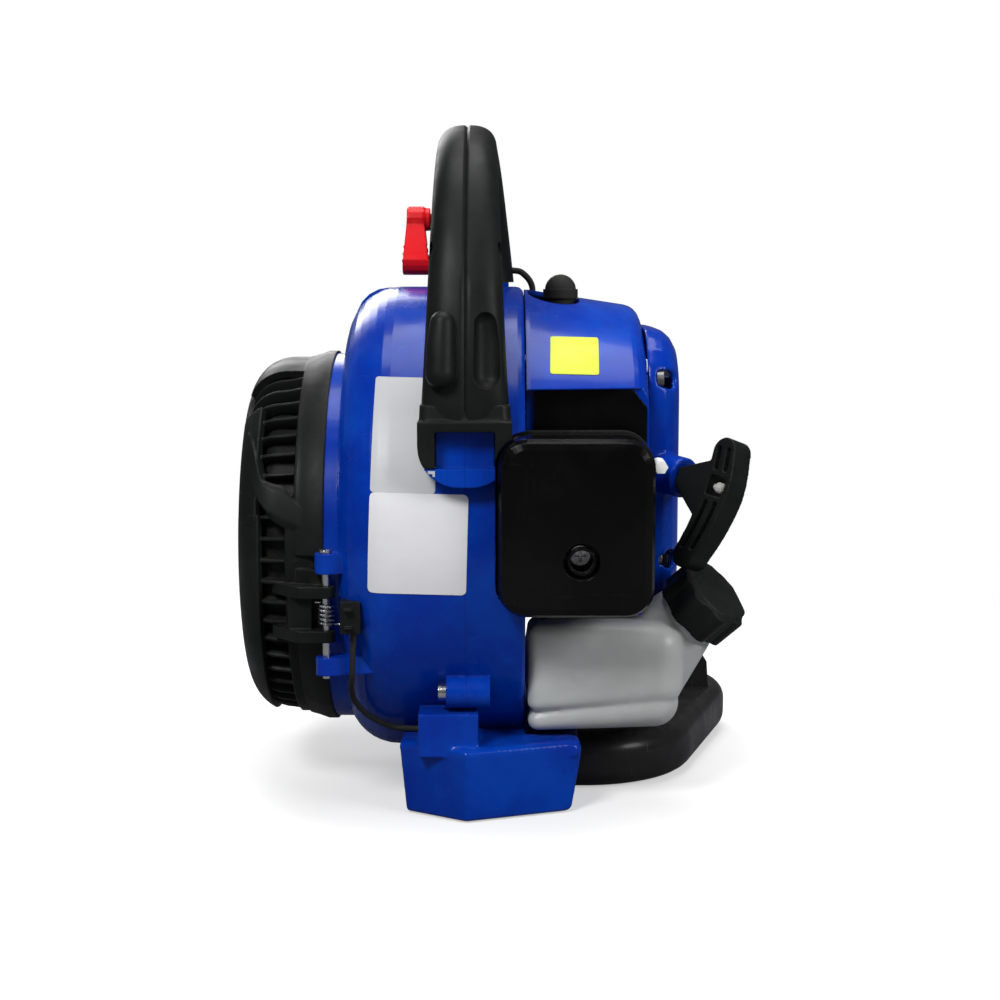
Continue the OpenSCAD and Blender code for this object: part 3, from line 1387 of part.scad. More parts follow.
module cruise_lever() color("red") difference() {
    union() {
        across(-37.5, -26) polygon(concat(arc(lever_pivot, 7.5, 200, 20, 7),
            arc([lever_pivot[0] - 9, lever_pivot[1] - 20], 10, 0, -170, 9)));
        cross_bar(-26.1, -23, lever_pivot[0], lever_pivot[1], 6.5);
        cross_bar(-23.1, -19, lever_pivot[0], lever_pivot[1], 3);
    }
    // finger ridges on the rear edge
    for (k = [0:2]) translate([-far / 2, lever_pivot[0] - 21.6 + k * 0.5, lever_pivot[1] - 14 - 4.5 * k])
        rotate([0, 90, 0]) cylinder(r = 1.4, h = far);
}

module trigger_pin() color("silver")
    cross_bar(-pin_half, pin_half, trigger_pivot[0], trigger_pivot[1], 2);

switch_at = [29, bar_z + 5];
switch_lean = -21;

module switch_room() translate([0, switch_at[0], switch_at[1]]) rotate([switch_lean, 0, 0])
    cube([10, 19, 18], center = true);

module stop_switch() color("red") translate([0, switch_at[0], switch_at[1]])
    rotate([switch_lean, 0, 0]) across(-4.7, 4.7) intersection() {
        circle(r = 9.2);
        polygon([[-10, -7], [10, -7], [10, 7], [0, 5.2], [-10, 9.4]]);
    }

cable_route = [[0, trigger_pivot[0] + 5.4, bar_z - 7], [0, 38, 325], [1, 50, 307], [3, 54, 293],
    [9, 58, 281], [16, cable_exit[1], cable_exit[2] + 0.6], cable_exit, [30, cable_exit[1], 273.5],
    [cable_hole[0], cable_hole[1], 266], [cable_hole[0], cable_hole[1], 252], [37, 57, 243],
    [44, 46, 239], [54, 30, 239], [66, 6, 238], [69, -20, 238], [69, -34, 233], [67, -46, 220],
    [65, -60, arm_z + 14], [63.5, -66, arm_z + 9]];

module throttle_cable() color("black") tube(smooth(cable_route, 3), 1.8, 8, [1, 0, 0]);

// --- fasteners ---------------------------------------------------------------------------

module housing_screws() color("silver") for (p = boss_places)
    translate([-boss_left, p[0], p[1]]) rotate([0, -90, 0]) cap_screw(screw_r, boss_left + boss_right - 4);

module cover_screws() color("silver") for (p = cover_screws_at)
    translate([starter_x + 5, p[0], p[1]]) rotate([0, 90, 0]) cap_screw(screw_r, 5 + seat + wall, 3.5);

volute_outer_half();
volute_inner_half();
inlet_grille();
hinge_pin();
hinge_spring();
interlock_switch();
interlock_lead();
impeller();
shaft_nuts();
crankcase();
crankshaft();
crank_bearings();
shaft_seals();
connecting_rod();
piston();
gudgeon_pin();
engine_cylinder();
spark_plug();
plug_boot();
ignition_lead();
ignition_coil();
flywheel();
starter_pawl();
intake_insulator();
carburettor();
throttle_arm();
choke_lever();
primer_bulb();
air_box();
air_filter();
filter_cover();
filter_cover_screw();
muffler();
engine_cover();
starter_housing();
rope_drum();
drum_screw();
rewind_spring();
rope_winding();
starter_rope();
starter_grip();
fuel_tank();
cap_gasket();
fuel_cap();
fuel_lines();
fuel_filter();
stand_foot();
stand_tube();
tube_bracket();
handle_yoke();
handle_left_half();
handle_right_half();
handle_screws();
throttle_trigger();
cruise_lever();
trigger_pin();
stop_switch();
throttle_cable();
housing_screws();
cover_screws();
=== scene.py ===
import bpy
import bmesh
import itertools
import json
import math
from mathutils import Matrix, Vector
from mathutils.bvhtree import BVHTree


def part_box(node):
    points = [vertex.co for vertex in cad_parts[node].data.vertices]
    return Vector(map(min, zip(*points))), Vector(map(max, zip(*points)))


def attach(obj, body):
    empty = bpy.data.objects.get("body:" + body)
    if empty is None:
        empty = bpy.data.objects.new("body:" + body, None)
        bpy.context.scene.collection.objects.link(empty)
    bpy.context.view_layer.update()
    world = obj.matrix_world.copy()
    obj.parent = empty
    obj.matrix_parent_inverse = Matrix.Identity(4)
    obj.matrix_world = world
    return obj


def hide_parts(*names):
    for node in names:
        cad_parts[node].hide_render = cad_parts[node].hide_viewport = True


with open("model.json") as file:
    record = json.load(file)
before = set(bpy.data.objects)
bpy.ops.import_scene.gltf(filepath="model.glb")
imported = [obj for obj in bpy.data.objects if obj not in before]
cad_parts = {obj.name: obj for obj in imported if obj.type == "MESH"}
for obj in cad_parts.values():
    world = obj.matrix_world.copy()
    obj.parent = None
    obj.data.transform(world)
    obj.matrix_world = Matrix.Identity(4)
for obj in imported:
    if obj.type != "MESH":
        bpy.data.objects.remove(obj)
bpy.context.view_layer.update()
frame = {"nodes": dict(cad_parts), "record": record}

bpy.context.scene.view_settings.view_transform = "Standard"
nodes = frame["nodes"]


# small helpers; pieces have their sizes in millimetres, but voxels, finishes, stage and lamps are in metres

def mm(*v):
    return Vector(v) / 1000.0


def newObject(name, data):
    obj = bpy.data.objects.new(name, data)
    bpy.context.scene.collection.objects.link(obj)
    return obj


def ramp(value, low, high):
    # 0 up to low and 1 from high
    return min(1, max(0, (value - low) / (high - low)))


def nodeOf(tree, kind):
    return next(n for n in tree.nodes if n.type == kind)


def setInputs(tree, node, inputs):
    # links what comes from a socket and sets what is a plain value
    for key, value in inputs.items():
        if isinstance(value, bpy.types.NodeSocket):
            tree.links.new(value, node.inputs[key])
        else:
            node.inputs[key].default_value = value


def addNode(tree, kind, inputs=None, **settings):
    node = tree.nodes.new(kind)
    for key, value in settings.items():
        setattr(node, key, value)
    setInputs(tree, node, inputs or {})
    return node


def newGroup(kind, name, inputs, outputs):
    # sockets are given as (label, type) or (label, type, first value)
    g = bpy.data.node_groups.new(name, kind + "NodeTree")
    for inOut, rows in (("OUTPUT", outputs), ("INPUT", inputs)):
        for label, socketType, *value in rows:
            socket = g.interface.new_socket(name=label, in_out=inOut, socket_type="NodeSocket" + socketType)
            if value:
                socket.default_value = value[0]
    return g, g.nodes.new("NodeGroupInput").outputs, g.nodes.new("NodeGroupOutput")


def mathNode(tree, operation, *values, clamp=False):
    return addNode(tree, "ShaderNodeMath", dict(enumerate(values)), operation=operation, use_clamp=clamp).outputs[0]


def product(tree, *values):
    return mathNode(tree, "MULTIPLY", *values)


def rangeNode(tree, value, low, high):
    # soft step from 0 at low to 1 at high
    inputs = {"Value": value, "From Min": low, "From Max": high}
    return addNode(tree, "ShaderNodeMapRange", inputs, interpolation_type="SMOOTHSTEP").outputs["Result"]


def noiseNode(tree, vector, scale, detail=2.0, rough=0.5, distortion=0.0):
    inputs = {"Vector": vector, "Scale": scale, "Detail": detail, "Roughness": rough, "Distortion": distortion}
    return addNode(tree, "ShaderNodeTexNoise", inputs).outputs["Fac"]


def stretched(tree, vector, scale=(1, 1, 1), turn=(0, 0, 0)):
    return addNode(tree, "ShaderNodeMapping", {"Vector": vector, "Rotation": turn, "Scale": scale}).outputs["Vector"]


def mixColor(tree, factor, a, b):
    colors = {key: (*c, 1.0) if isinstance(c, tuple) else c for key, c in ((6, a), (7, b))}
    return addNode(tree, "ShaderNodeMix", {0: factor, **colors}, data_type="RGBA").outputs[2]


# shared effects, as shader groups that put out masks, values and normals; a noise is given as detail,
# roughness and distortion

effectSettings = {
    "samples": 4,
    "edge": (0.01, 0.16), "edgeNoise": (4, 0.65), "edgePatch": (0.42, 0.66),
    "fineNoise": (3, 0.6), "waveNoise": (1, 0.4),
    "streaks": (((0.4, 1.1, 0.3), (1500, 22, 60)), ((1.3, 0.2, 0.9), (60, 1400, 25)),
                ((0.1, 0.8, 2.1), (30, 50, 1600))),
    "streak": (0.7, 0.74), "scratchScale": 28.0, "scratchNoise": (3, 0.6), "scratchPatch": (0.48, 0.62),
    "smudge": (0.36, 0.68), "smudgeNoise": (5, 0.62, 0.6),
    "dustUp": (0.55, 1.0), "dustReach": 0.008, "dustCorner": (0.35, 0.9),
    "speckScale": 220.0, "speckNoise": (6, 0.7), "speck": (0.35, 0.75),
}


def edgeWearGroup(f=effectSettings):
    g, given, out = newGroup("Shader", "edgeWear", [
        ("Vector", "Vector"), ("Radius", "Float", 0.0012), ("Amount", "Float", 0.5), ("Patch Scale", "Float", 60.0)],
        [("Worn", "Float"), ("Normal", "Vector")])
    bevel = addNode(g, "ShaderNodeBevel", {"Radius": given["Radius"]}, samples=f["samples"]).outputs["Normal"]
    plain = addNode(g, "ShaderNodeNewGeometry").outputs["Normal"]
    dot = addNode(g, "ShaderNodeVectorMath", {0: bevel, 1: plain}, operation="DOT_PRODUCT").outputs["Value"]
    edge = rangeNode(g, mathNode(g, "SUBTRACT", 1.0, dot), *f["edge"])
    patch = rangeNode(g, noiseNode(g, given["Vector"], given["Patch Scale"], *f["edgeNoise"]), *f["edgePatch"])
    worn = mathNode(g, "MULTIPLY", product(g, edge, patch), given["Amount"], clamp=True)
    setInputs(g, out, {"Worn": worn, "Normal": bevel})
    return g


def mouldGrainGroup(f=effectSettings):
    g, given, out = newGroup("Shader", "mouldGrain", [
        ("Vector", "Vector"), ("Grain Scale", "Float", 1800.0), ("Wave Scale", "Float", 40.0),
        ("Wave Share", "Float", 0.5)], [("Height", "Float")])
    fine = noiseNode(g, given["Vector"], given["Grain Scale"], *f["fineNoise"])
    wave = noiseNode(g, given["Vector"], given["Wave Scale"], *f["waveNoise"])
    setInputs(g, out, {"Height": mathNode(g, "ADD", fine, product(g, wave, given["Wave Share"]))})
    return g


def scratchGroup(f=effectSettings):
    # three sets of thin streaks at different angles
    g, given, out = newGroup("Shader", "fineScratches", [
        ("Vector", "Vector"), ("Amount", "Float", 0.5)], [("Mask", "Float")])
    total = None
    for turn, scale in f["streaks"]:
        streak = rangeNode(g, noiseNode(g, stretched(g, given["Vector"], scale, turn), 1.0), *f["streak"])
        total = streak if total is None else mathNode(g, "MAXIMUM", total, streak)
    patch = rangeNode(g, noiseNode(g, given["Vector"], f["scratchScale"], *f["scratchNoise"]), *f["scratchPatch"])
    setInputs(g, out, {"Mask": product(g, product(g, total, patch), given["Amount"])})
    return g


def smudgeGroup(f=effectSettings):
    g, given, out = newGroup("Shader", "smudges", [
        ("Vector", "Vector"), ("Scale", "Float", 35.0), ("Low", "Float", 0.2), ("High", "Float", 0.35)],
        [("Value", "Float")])
    blot = noiseNode(g, given["Vector"], given["Scale"], *f["smudgeNoise"])
    inputs = {"Value": blot, "From Min": f["smudge"][0], "From Max": f["smudge"][1],
              "To Min": given["Low"], "To Max": given["High"]}
    setInputs(g, out, {"Value": addNode(g, "ShaderNodeMapRange", inputs).outputs["Result"]})
    return g


def dustGroup(f=effectSettings):
    # dust lies on what faces up and in the corners
    g, given, out = newGroup("Shader", "settledDust", [
        ("Vector", "Vector"), ("Normal", "Vector"), ("Top", "Float", 0.2), ("Corners", "Float", 0.3)],
        [("Mask", "Float")])
    up = rangeNode(g, addNode(g, "ShaderNodeSeparateXYZ", {0: given["Normal"]}).outputs["Z"], *f["dustUp"])
    closed = addNode(g, "ShaderNodeAmbientOcclusion", {"Distance": f["dustReach"]}, samples=f["samples"])
    corner = rangeNode(g, mathNode(g, "SUBTRACT", 1.0, closed.outputs["AO"]), *f["dustCorner"])
    speck = rangeNode(g, noiseNode(g, given["Vector"], f["speckScale"], *f["speckNoise"]), *f["speck"])
    lying = mathNode(g, "ADD", product(g, up, given["Top"]), product(g, corner, given["Corners"]))
    setInputs(g, out, {"Mask": mathNode(g, "MULTIPLY", lying, speck, clamp=True)})
    return g


groups = {"edge": edgeWearGroup(), "grain": mouldGrainGroup(), "scratch": scratchGroup(),
          "smudge": smudgeGroup(), "dust": dustGroup()}
print("shader groups made")


# finishes: what differs from the plain one of each kind

plainPlastic = {
    "shine": 0.12, "wave": 0.5, "scratch": 0.15, "edge": 0.15, "radius": 0.0008, "coat": 0.1,
    "dust": (0.03, 0.105),
}
plasticFinishes = {
    "gloss blue": {
        "color": (0.0, 0.022, 0.26), "light": (0.0, 0.04, 0.34), "worn": (0.02, 0.08, 0.5), "rough": (0.17, 0.3),
        "grain": (900, 0.006), "wave": 0.9, "scratch": 0.11, "radius": 0.0011, "dust": (0.018, 0.077)},
    "satin black": {
        "color": (0.0055, 0.0062, 0.006), "light": (0.0095, 0.0102, 0.01), "worn": (0.075, 0.076, 0.075),
        "rough": (0.38, 0.55), "grain": (2200, 0.05), "wave": 0.4, "shine": 0.1, "scratch": 0.125, "edge": 0.225,
        "radius": 0.0009, "coat": 0.0, "dust": (0.03, 0.098)},
    "gloss black": {
        "color": (0.0012, 0.0012, 0.0013), "light": (0.0026, 0.0026, 0.0029), "worn": (0.05, 0.05, 0.052),
        "rough": (0.12, 0.24), "grain": (700, 0.004), "wave": 0.9, "shine": 0.1, "radius": 0.0012,
        "dust": (0.015, 0.07)},
    "red": {
        "color": (0.54, 0.006, 0.01), "light": (0.64, 0.01, 0.015), "worn": (0.85, 0.18, 0.13),
        "rough": (0.26, 0.4), "grain": (1800, 0.02), "wave": 0.6, "scratch": 0.1, "edge": 0.175, "coat": 0.05,
        "dust": (0.015, 0.07)},
    "rubber": {
        "color": (0.014, 0.014, 0.0135), "light": (0.028, 0.027, 0.026), "worn": (0.07, 0.068, 0.064),
        "rough": (0.52, 0.74), "grain": (1500, 0.09), "scratch": 0.075, "edge": 0.2, "radius": 0.0009,
        "coat": 0.0, "dust": (0.048, 0.122)},
    "white": {
        "color": (0.7, 0.7, 0.68), "light": (0.82, 0.82, 0.8), "worn": (0.56, 0.55, 0.52), "rough": (0.34, 0.5),
        "grain": (1900, 0.03), "shine": 0.3, "radius": 0.0007, "coat": 0.0},
    "painted tube": {
        "color": (0.009, 0.009, 0.0095), "light": (0.015, 0.015, 0.016), "worn": (0.22, 0.21, 0.2),
        "rough": (0.26, 0.42), "grain": (1100, 0.03), "wave": 0.9, "scratch": 0.25, "edge": 0.2, "coat": 0.05,
        "dust": (0.048, 0.105)},
    "fuel hose": {
        "color": (0.3, 0.27, 0.14), "light": (0.42, 0.38, 0.22), "worn": (0.45, 0.42, 0.3), "rough": (0.28, 0.42),
        "grain": (900, 0.02), "wave": 0.8, "shine": 0.3, "scratch": 0.05, "edge": 0.1, "radius": 0.0004},
    "ceramic": {
        "color": (0.8, 0.79, 0.76), "light": (0.88, 0.875, 0.85), "worn": (0.55, 0.5, 0.42), "rough": (0.1, 0.2),
        "grain": (500, 0.004), "wave": 0.8, "shine": 0.3, "scratch": 0.05, "edge": 0.1, "radius": 0.0006,
        "coat": 0.4, "dust": (0.015, 0.122)},
}
plainMetal = {
    "wave": 0.4, "brush": 0.3, "scratch": 0.5, "edge": 0.6, "radius": 0.0004, "dust": (0.06, 0.4),
}
metalFinishes = {
    "cast alloy": {
        "color": (0.46, 0.465, 0.47), "light": (0.58, 0.585, 0.59), "worn": (0.8, 0.8, 0.8), "rough": (0.42, 0.6),
        "grain": (520, 0.35), "brush": 0.0, "scratch": 0.2, "edge": 0.7, "radius": 0.0008, "dust": (0.12, 0.5)},
    "machined alloy": {
        "color": (0.62, 0.625, 0.63), "light": (0.72, 0.72, 0.725), "worn": (0.85, 0.85, 0.85),
        "rough": (0.24, 0.38), "grain": (900, 0.05), "brush": 0.5, "scratch": 0.35, "radius": 0.0005},
    "zinc steel": {
        "color": (0.55, 0.55, 0.56), "light": (0.68, 0.68, 0.68), "worn": (0.82, 0.82, 0.82),
        "rough": (0.22, 0.36), "grain": (700, 0.04), "brush": 0.35, "dust": (0.05, 0.35)},
    "dark steel": {
        "color": (0.15, 0.15, 0.155), "light": (0.24, 0.24, 0.245), "worn": (0.55, 0.55, 0.55),
        "rough": (0.32, 0.48), "grain": (800, 0.06), "scratch": 0.4, "edge": 0.7},
    "heated steel": {
        "color": (0.34, 0.3, 0.25), "light": (0.5, 0.47, 0.43), "worn": (0.7, 0.68, 0.64), "rough": (0.34, 0.56),
        "grain": (90, 0.1), "brush": 0.4, "edge": 0.5, "radius": 0.0006, "dust": (0.12, 0.5)},
}
tankFinish = {
    "color": (0.36, 0.375, 0.368), "light": (0.42, 0.435, 0.43), "worn": (0.5, 0.5, 0.49), "rough": (0.3, 0.44),
    "grain": (1100, 0.02), "wave": 0.9, "scratch": 0.2, "edge": 0.2, "radius": 0.0012,
    "dustColor": (0.34, 0.33, 0.31), "glow": 0.35, "reach": (0.006, 0.006, 0.0055), "dust": (0.08, 0.2),
}
foamFinish = {
    "color": (0.16, 0.18, 0.13), "light": (0.26, 0.28, 0.21), "worn": (0.34, 0.34, 0.28), "rough": (0.8, 0.95),
    "grain": (900, 0.3), "wave": 0.6, "scratch": 0.0, "edge": 0.3, "radius": 0.001, "cells": 900.0,
    "cellDepth": 1.2, "dust": (0.2, 0.4),
}
ropeFinish = {
    "color": (0.55, 0.53, 0.49), "light": (0.72, 0.7, 0.66), "worn": (0.42, 0.4, 0.36), "rough": (0.7, 0.9),
    "grain": (3500, 0.12), "wave": 0.4, "scratch": 0.0, "edge": 0.0, "radius": 0.0002, "strands": 320.0,
    "strandTurn": (0.8, 0.4, 0.8), "strandDepth": 0.35, "sheen": 0.3, "dust": (0.1, 0.4),
}
surfaceSettings = {
    "wearScale": 70.0, "smudgeScale": 38.0, "waveScale": 46.0,
    "cloudScale": 26.0, "cloudNoise": (4, 0.6, 0.3), "cloud": (0.35, 0.7),
    "scratchTint": 0.6, "scratchRough": 0.2, "scratchDepth": 0.05,
    "dustRough": 0.45, "dustColor": (0.3, 0.27, 0.23), "bump": 0.001,
    "brushScale": (2600, 120, 120), "brushDepth": 0.06, "coatRough": 0.08,
}


def hardMaterial(name, f, inputs, relief=None, common=surfaceSettings):
    # colour, roughness and bump that every finish shares; relief puts out the height of its own pattern
    material = bpy.data.materials.new(name)
    material.use_nodes = True
    tree = material.node_tree
    place = tree.nodes.new("ShaderNodeTexCoord").outputs
    where = place["Object"]

    def placed(key, values):
        return addNode(tree, "ShaderNodeGroup", {"Vector": where, **values}, node_tree=groups[key]).outputs

    edge = placed("edge", {"Radius": f["radius"], "Amount": f["edge"], "Patch Scale": common["wearScale"]})
    scratch = placed("scratch", {"Amount": f["scratch"]})["Mask"]
    smudge = placed("smudge", {"Scale": common["smudgeScale"], "Low": f["rough"][0], "High": f["rough"][1]})
    grain = placed("grain", {
        "Grain Scale": f["grain"][0], "Wave Scale": common["waveScale"], "Wave Share": f["wave"]})
    dust = placed("dust", {"Normal": place["Normal"], "Top": f["dust"][0], "Corners": f["dust"][1]})["Mask"]
    cloud = rangeNode(tree, noiseNode(tree, where, common["cloudScale"], *common["cloudNoise"]), *common["cloud"])
    color = mixColor(tree, cloud, f["color"], f["light"])
    rubbed = mathNode(tree, "MAXIMUM", edge["Worn"], product(tree, scratch, common["scratchTint"]))
    color = mixColor(tree, rubbed, color, f["worn"])
    color = mixColor(tree, dust, color, f.get("dustColor", common["dustColor"]))
    rough = mathNode(tree, "ADD", smudge["Value"], product(tree, dust, common["dustRough"]))
    rough = mathNode(tree, "ADD", rough, product(tree, scratch, common["scratchRough"]), clamp=True)
    height = product(tree, grain["Height"], f["grain"][1])
    height = mathNode(tree, "SUBTRACT", height, product(tree, scratch, common["scratchDepth"]))
    if relief:
        height = mathNode(tree, "ADD", height, relief(tree, where, f))
    relieved = {"Strength": 1.0, "Distance": common["bump"], "Height": height, "Normal": edge["Normal"]}
    normal = addNode(tree, "ShaderNodeBump", relieved).outputs["Normal"]
    surface = {"Base Color": color, "Roughness": rough, "Normal": normal, **inputs}
    setInputs(tree, nodeOf(tree, "BSDF_PRINCIPLED"), surface)
    return material


def brushMarks(tree, where, f, common=surfaceSettings):
    marks = noiseNode(tree, stretched(tree, where, common["brushScale"]), 1.0)
    return product(tree, marks, common["brushDepth"] * f["brush"])


def foamCells(tree, where, f):
    cells = addNode(tree, "ShaderNodeTexVoronoi", {"Vector": where, "Scale": f["cells"]})
    return product(tree, cells.outputs["Distance"], f["cellDepth"])


def ropeBraid(tree, where, f):
    # two sets of strands that cross
    waves = []
    for side in (1, -1):
        along = stretched(tree, where, turn=tuple(side * angle for angle in f["strandTurn"]))
        waves.append(addNode(tree, "ShaderNodeTexWave", {"Vector": along, "Scale": f["strands"]}).outputs["Fac"])
    return product(tree, mathNode(tree, "MAXIMUM", *waves), f["strandDepth"])


materials = {}
for name, own in plasticFinishes.items():
    f = {**plainPlastic, **own}
    inputs = {"Specular IOR Level": f["shine"], "Coat Weight": f["coat"],
              "Coat Roughness": surfaceSettings["coatRough"]}
    materials[name] = hardMaterial(name, f, inputs)
for name, own in metalFinishes.items():
    f = {**plainMetal, **own}
    materials[name] = hardMaterial(name, f, {"Metallic": 1.0}, brushMarks if f["brush"] else None)
materials["milky tank"] = hardMaterial("milky tank", tankFinish, {
    "Subsurface Weight": tankFinish["glow"], "Subsurface Radius": tankFinish["reach"], "Subsurface Scale": 1.0})
materials["open foam"] = hardMaterial("open foam", foamFinish, {}, foamCells)
materials["braided rope"] = hardMaterial("braided rope", ropeFinish, {"Sheen Weight": ropeFinish["sheen"]}, ropeBraid)
print("materials made:", len(materials))

finishOfSlot = {
    "blue_plastic": "gloss blue", "black_plastic": "satin black", "black_gloss": "gloss black", "red_plastic": "red",
    "tank_plastic": "milky tank", "rubber": "rubber", "cast_alloy": "cast alloy", "machined_alloy": "machined alloy",
    "steel": "zinc steel", "dark_steel": "dark steel", "sheet_steel": "heated steel", "grey_paint": "painted tube",
    "white_plastic": "white", "foam": "open foam", "rope": "braided rope", "ceramic": "ceramic",
    "fuel_hose": "fuel hose", "black_paint": "painted tube",
}
finishOfNode = {"cover_screws": "dark steel"}  # not the finish of its slot
slotOfNode = {p["node"]: p["material_slot"] for p in frame["record"]["subparts"]}
for name, node in nodes.items():
    node.data.materials.clear()
    node.data.materials.append(materials[finishOfNode.get(name, finishOfSlot[slotOfNode[name]])])
print("CAD nodes dressed:", len(nodes))


# mesh helpers

def tidyNormals(obj, sharp=35.0):
    # turns the faces outward and shades them smooth, with edges kept that bend by more than sharp
    bm = bmesh.new()
    bm.from_mesh(obj.data)
    bmesh.ops.recalc_face_normals(bm, faces=bm.faces)
    for face in bm.faces:
        face.smooth = True
    for edge in bm.edges:
        edge.smooth = len(edge.link_faces) == 2 and edge.calc_face_angle(0.0) < math.radians(sharp)
    bm.to_mesh(obj.data)
    bm.free()
    return obj


def meshObject(name, verts, faces, sharp=35.0):
    mesh = bpy.data.meshes.new(name)
    mesh.from_pydata([tuple(v) for v in verts], [], faces)
    return tidyNormals(newObject(name, mesh), sharp)


def loftFaces(rows, n, around=False):
    # quads between rings of n points, with flat ends unless the last ring meets the first
    faces = []
    for i in range(rows if around else rows - 1):
        k = (i + 1) % rows
        faces += [(i * n + j, i * n + (j + 1) % n, k * n + (j + 1) % n, k * n + j) for j in range(n)]
    if not around:
        faces += [tuple(range(n)), tuple((rows - 1) * n + j for j in range(n))]
    return faces


def evaluatedMesh(obj):
    bpy.context.view_layer.update()
    graph = bpy.context.evaluated_depsgraph_get()
    return bpy.data.meshes.new_from_object(obj.evaluated_get(graph), depsgraph=graph)


def applyModifiers(obj):
    mesh = evaluatedMesh(obj)
    obj.modifiers.clear()
    obj.data = mesh


def mergedCopy(node, name):
    obj = newObject(name, nodes[node].data.copy())
    bm = bmesh.new()
    bm.from_mesh(obj.data)
    bm.transform(nodes[node].matrix_world)
    bmesh.ops.remove_doubles(bm, verts=bm.verts, dist=1e-6)
    bm.to_mesh(obj.data)
    bm.free()
    return obj


def soften(obj, voxel, rounds, keep):
    # remeshes in even cells and relaxes them, as moulded edges are round
    remesh = obj.modifiers.new("remesh", "REMESH")
    remesh.mode = "VOXEL"
    remesh.voxel_size = voxel
    relax = obj.modifiers.new("relax", "SMOOTH")
    relax.iterations = rounds
    relax.factor = 0.5
    obj.modifiers.new("thin", "DECIMATE").ratio = keep
    applyModifiers(obj)
    for face in obj.data.polygons:
        face.use_smooth = True
    return obj


def combine(obj, others, operation="DIFFERENCE"):
    for other in others:
        join = obj.modifiers.new("combine", "BOOLEAN")
        join.operation = operation
        join.solver = "EXACT"
        join.object = other
    applyModifiers(obj)
    for other in others:
        bpy.data.objects.remove(other)
    return obj


def hullObject(name, points):
    mesh = bpy.data.meshes.new(name)
    bm = bmesh.new()
    for p in points:
        bm.verts.new(p)
    bmesh.ops.convex_hull(bm, input=bm.verts)
    bmesh.ops.delete(bm, geom=[v for v in bm.verts if not v.link_faces], context="VERTS")
    bm.to_mesh(mesh)
    bm.free()
    return newObject(name, mesh)


def ballPoints(center, radius, rows=14):
    out = []
    for i in range(rows + 1):
        tilt = math.pi * i / rows
        count = max(1, round(2 * rows * math.sin(tilt)))
        for turn in (2 * math.pi * j / count for j in range(count)):
            along = Vector((math.sin(tilt) * math.cos(turn), math.sin(tilt) * math.sin(turn), math.cos(tilt)))
            out.append(Vector(center) + radius * along)
    return out


def discPoints(center, axis, radius, count=40):
    axis = Vector(axis).normalized()
    side = axis.orthogonal().normalized()
    other = axis.cross(side)
    return [Vector(center) + radius * (math.cos(a) * side + math.sin(a) * other)
            for a in (2 * math.pi * i / count for i in range(count))]


def boxObject(name, low, high):
    return hullObject(name, [Vector(corner) for corner in itertools.product(*zip(low, high))])


def barObject(name, a, b, radius, count=32):
    axis = Vector(b) - Vector(a)
    return hullObject(name, discPoints(a, axis, radius, count) + discPoints(b, axis, radius, count))


def joinInto(first, others):
    bm = bmesh.new()
    bm.from_mesh(first.data)
    for other in others:
        bm.from_mesh(other.data)
        bpy.data.objects.remove(other)
    bm.to_mesh(first.data)
    bm.free()
    return first


def finishPiece(obj, body, slot, finish, *replaced):
    obj.data.materials.clear()
    obj.data.materials.append(materials[finish])
    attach(obj, body)
    if replaced:
        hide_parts(*replaced)
    print("piece:", obj.name, len(obj.data.polygons))


# helpers for what follows a path or repeats, with Geometry Nodes

def curveObject(name, points):
    curve = bpy.data.curves.new(name, "CURVE")
    curve.dimensions = "3D"
    line = curve.splines.new("POLY")
    line.points.add(len(points) - 1)
    for p, v in zip(line.points, points):
        p.co = (*v, 1)
    return newObject(name, curve)


def geometryGroup(name, inputs):
    ends = [("Geometry", "Geometry")]
    return newGroup("Geometry", name, [*ends, *inputs, ("Material", "Material")], ends)


def paintedEnd(g, mesh, given, out):
    real = addNode(g, "GeometryNodeRealizeInstances", {0: mesh}).outputs[0]
    paint = addNode(g, "GeometryNodeSetMaterial", {"Geometry": real, "Material": given["Material"]})
    setInputs(g, out, {0: paint.outputs[0]})
    return g


def sweepAlong(g, curve, profile):
    sweep = addNode(g, "GeometryNodeCurveToMesh", {"Curve": curve, "Profile Curve": profile, "Fill Caps": True})
    return sweep.outputs["Mesh"]


def runNodes(obj, group, values, name):
    # sets named inputs by identifier, evaluates once and keeps the plain mesh
    mod = obj.modifiers.new("nodes", "NODES")
    mod.node_group = group
    for item in group.interface.items_tree:
        if item.item_type == "SOCKET" and item.in_out == "INPUT" and item.name in values:
            mod[item.identifier] = values[item.name]
    made = newObject(name, evaluatedMesh(obj))
    bpy.data.objects.remove(obj)
    return made


# handle: two halves with a parting groove, along two bends from the rear socket to the front one

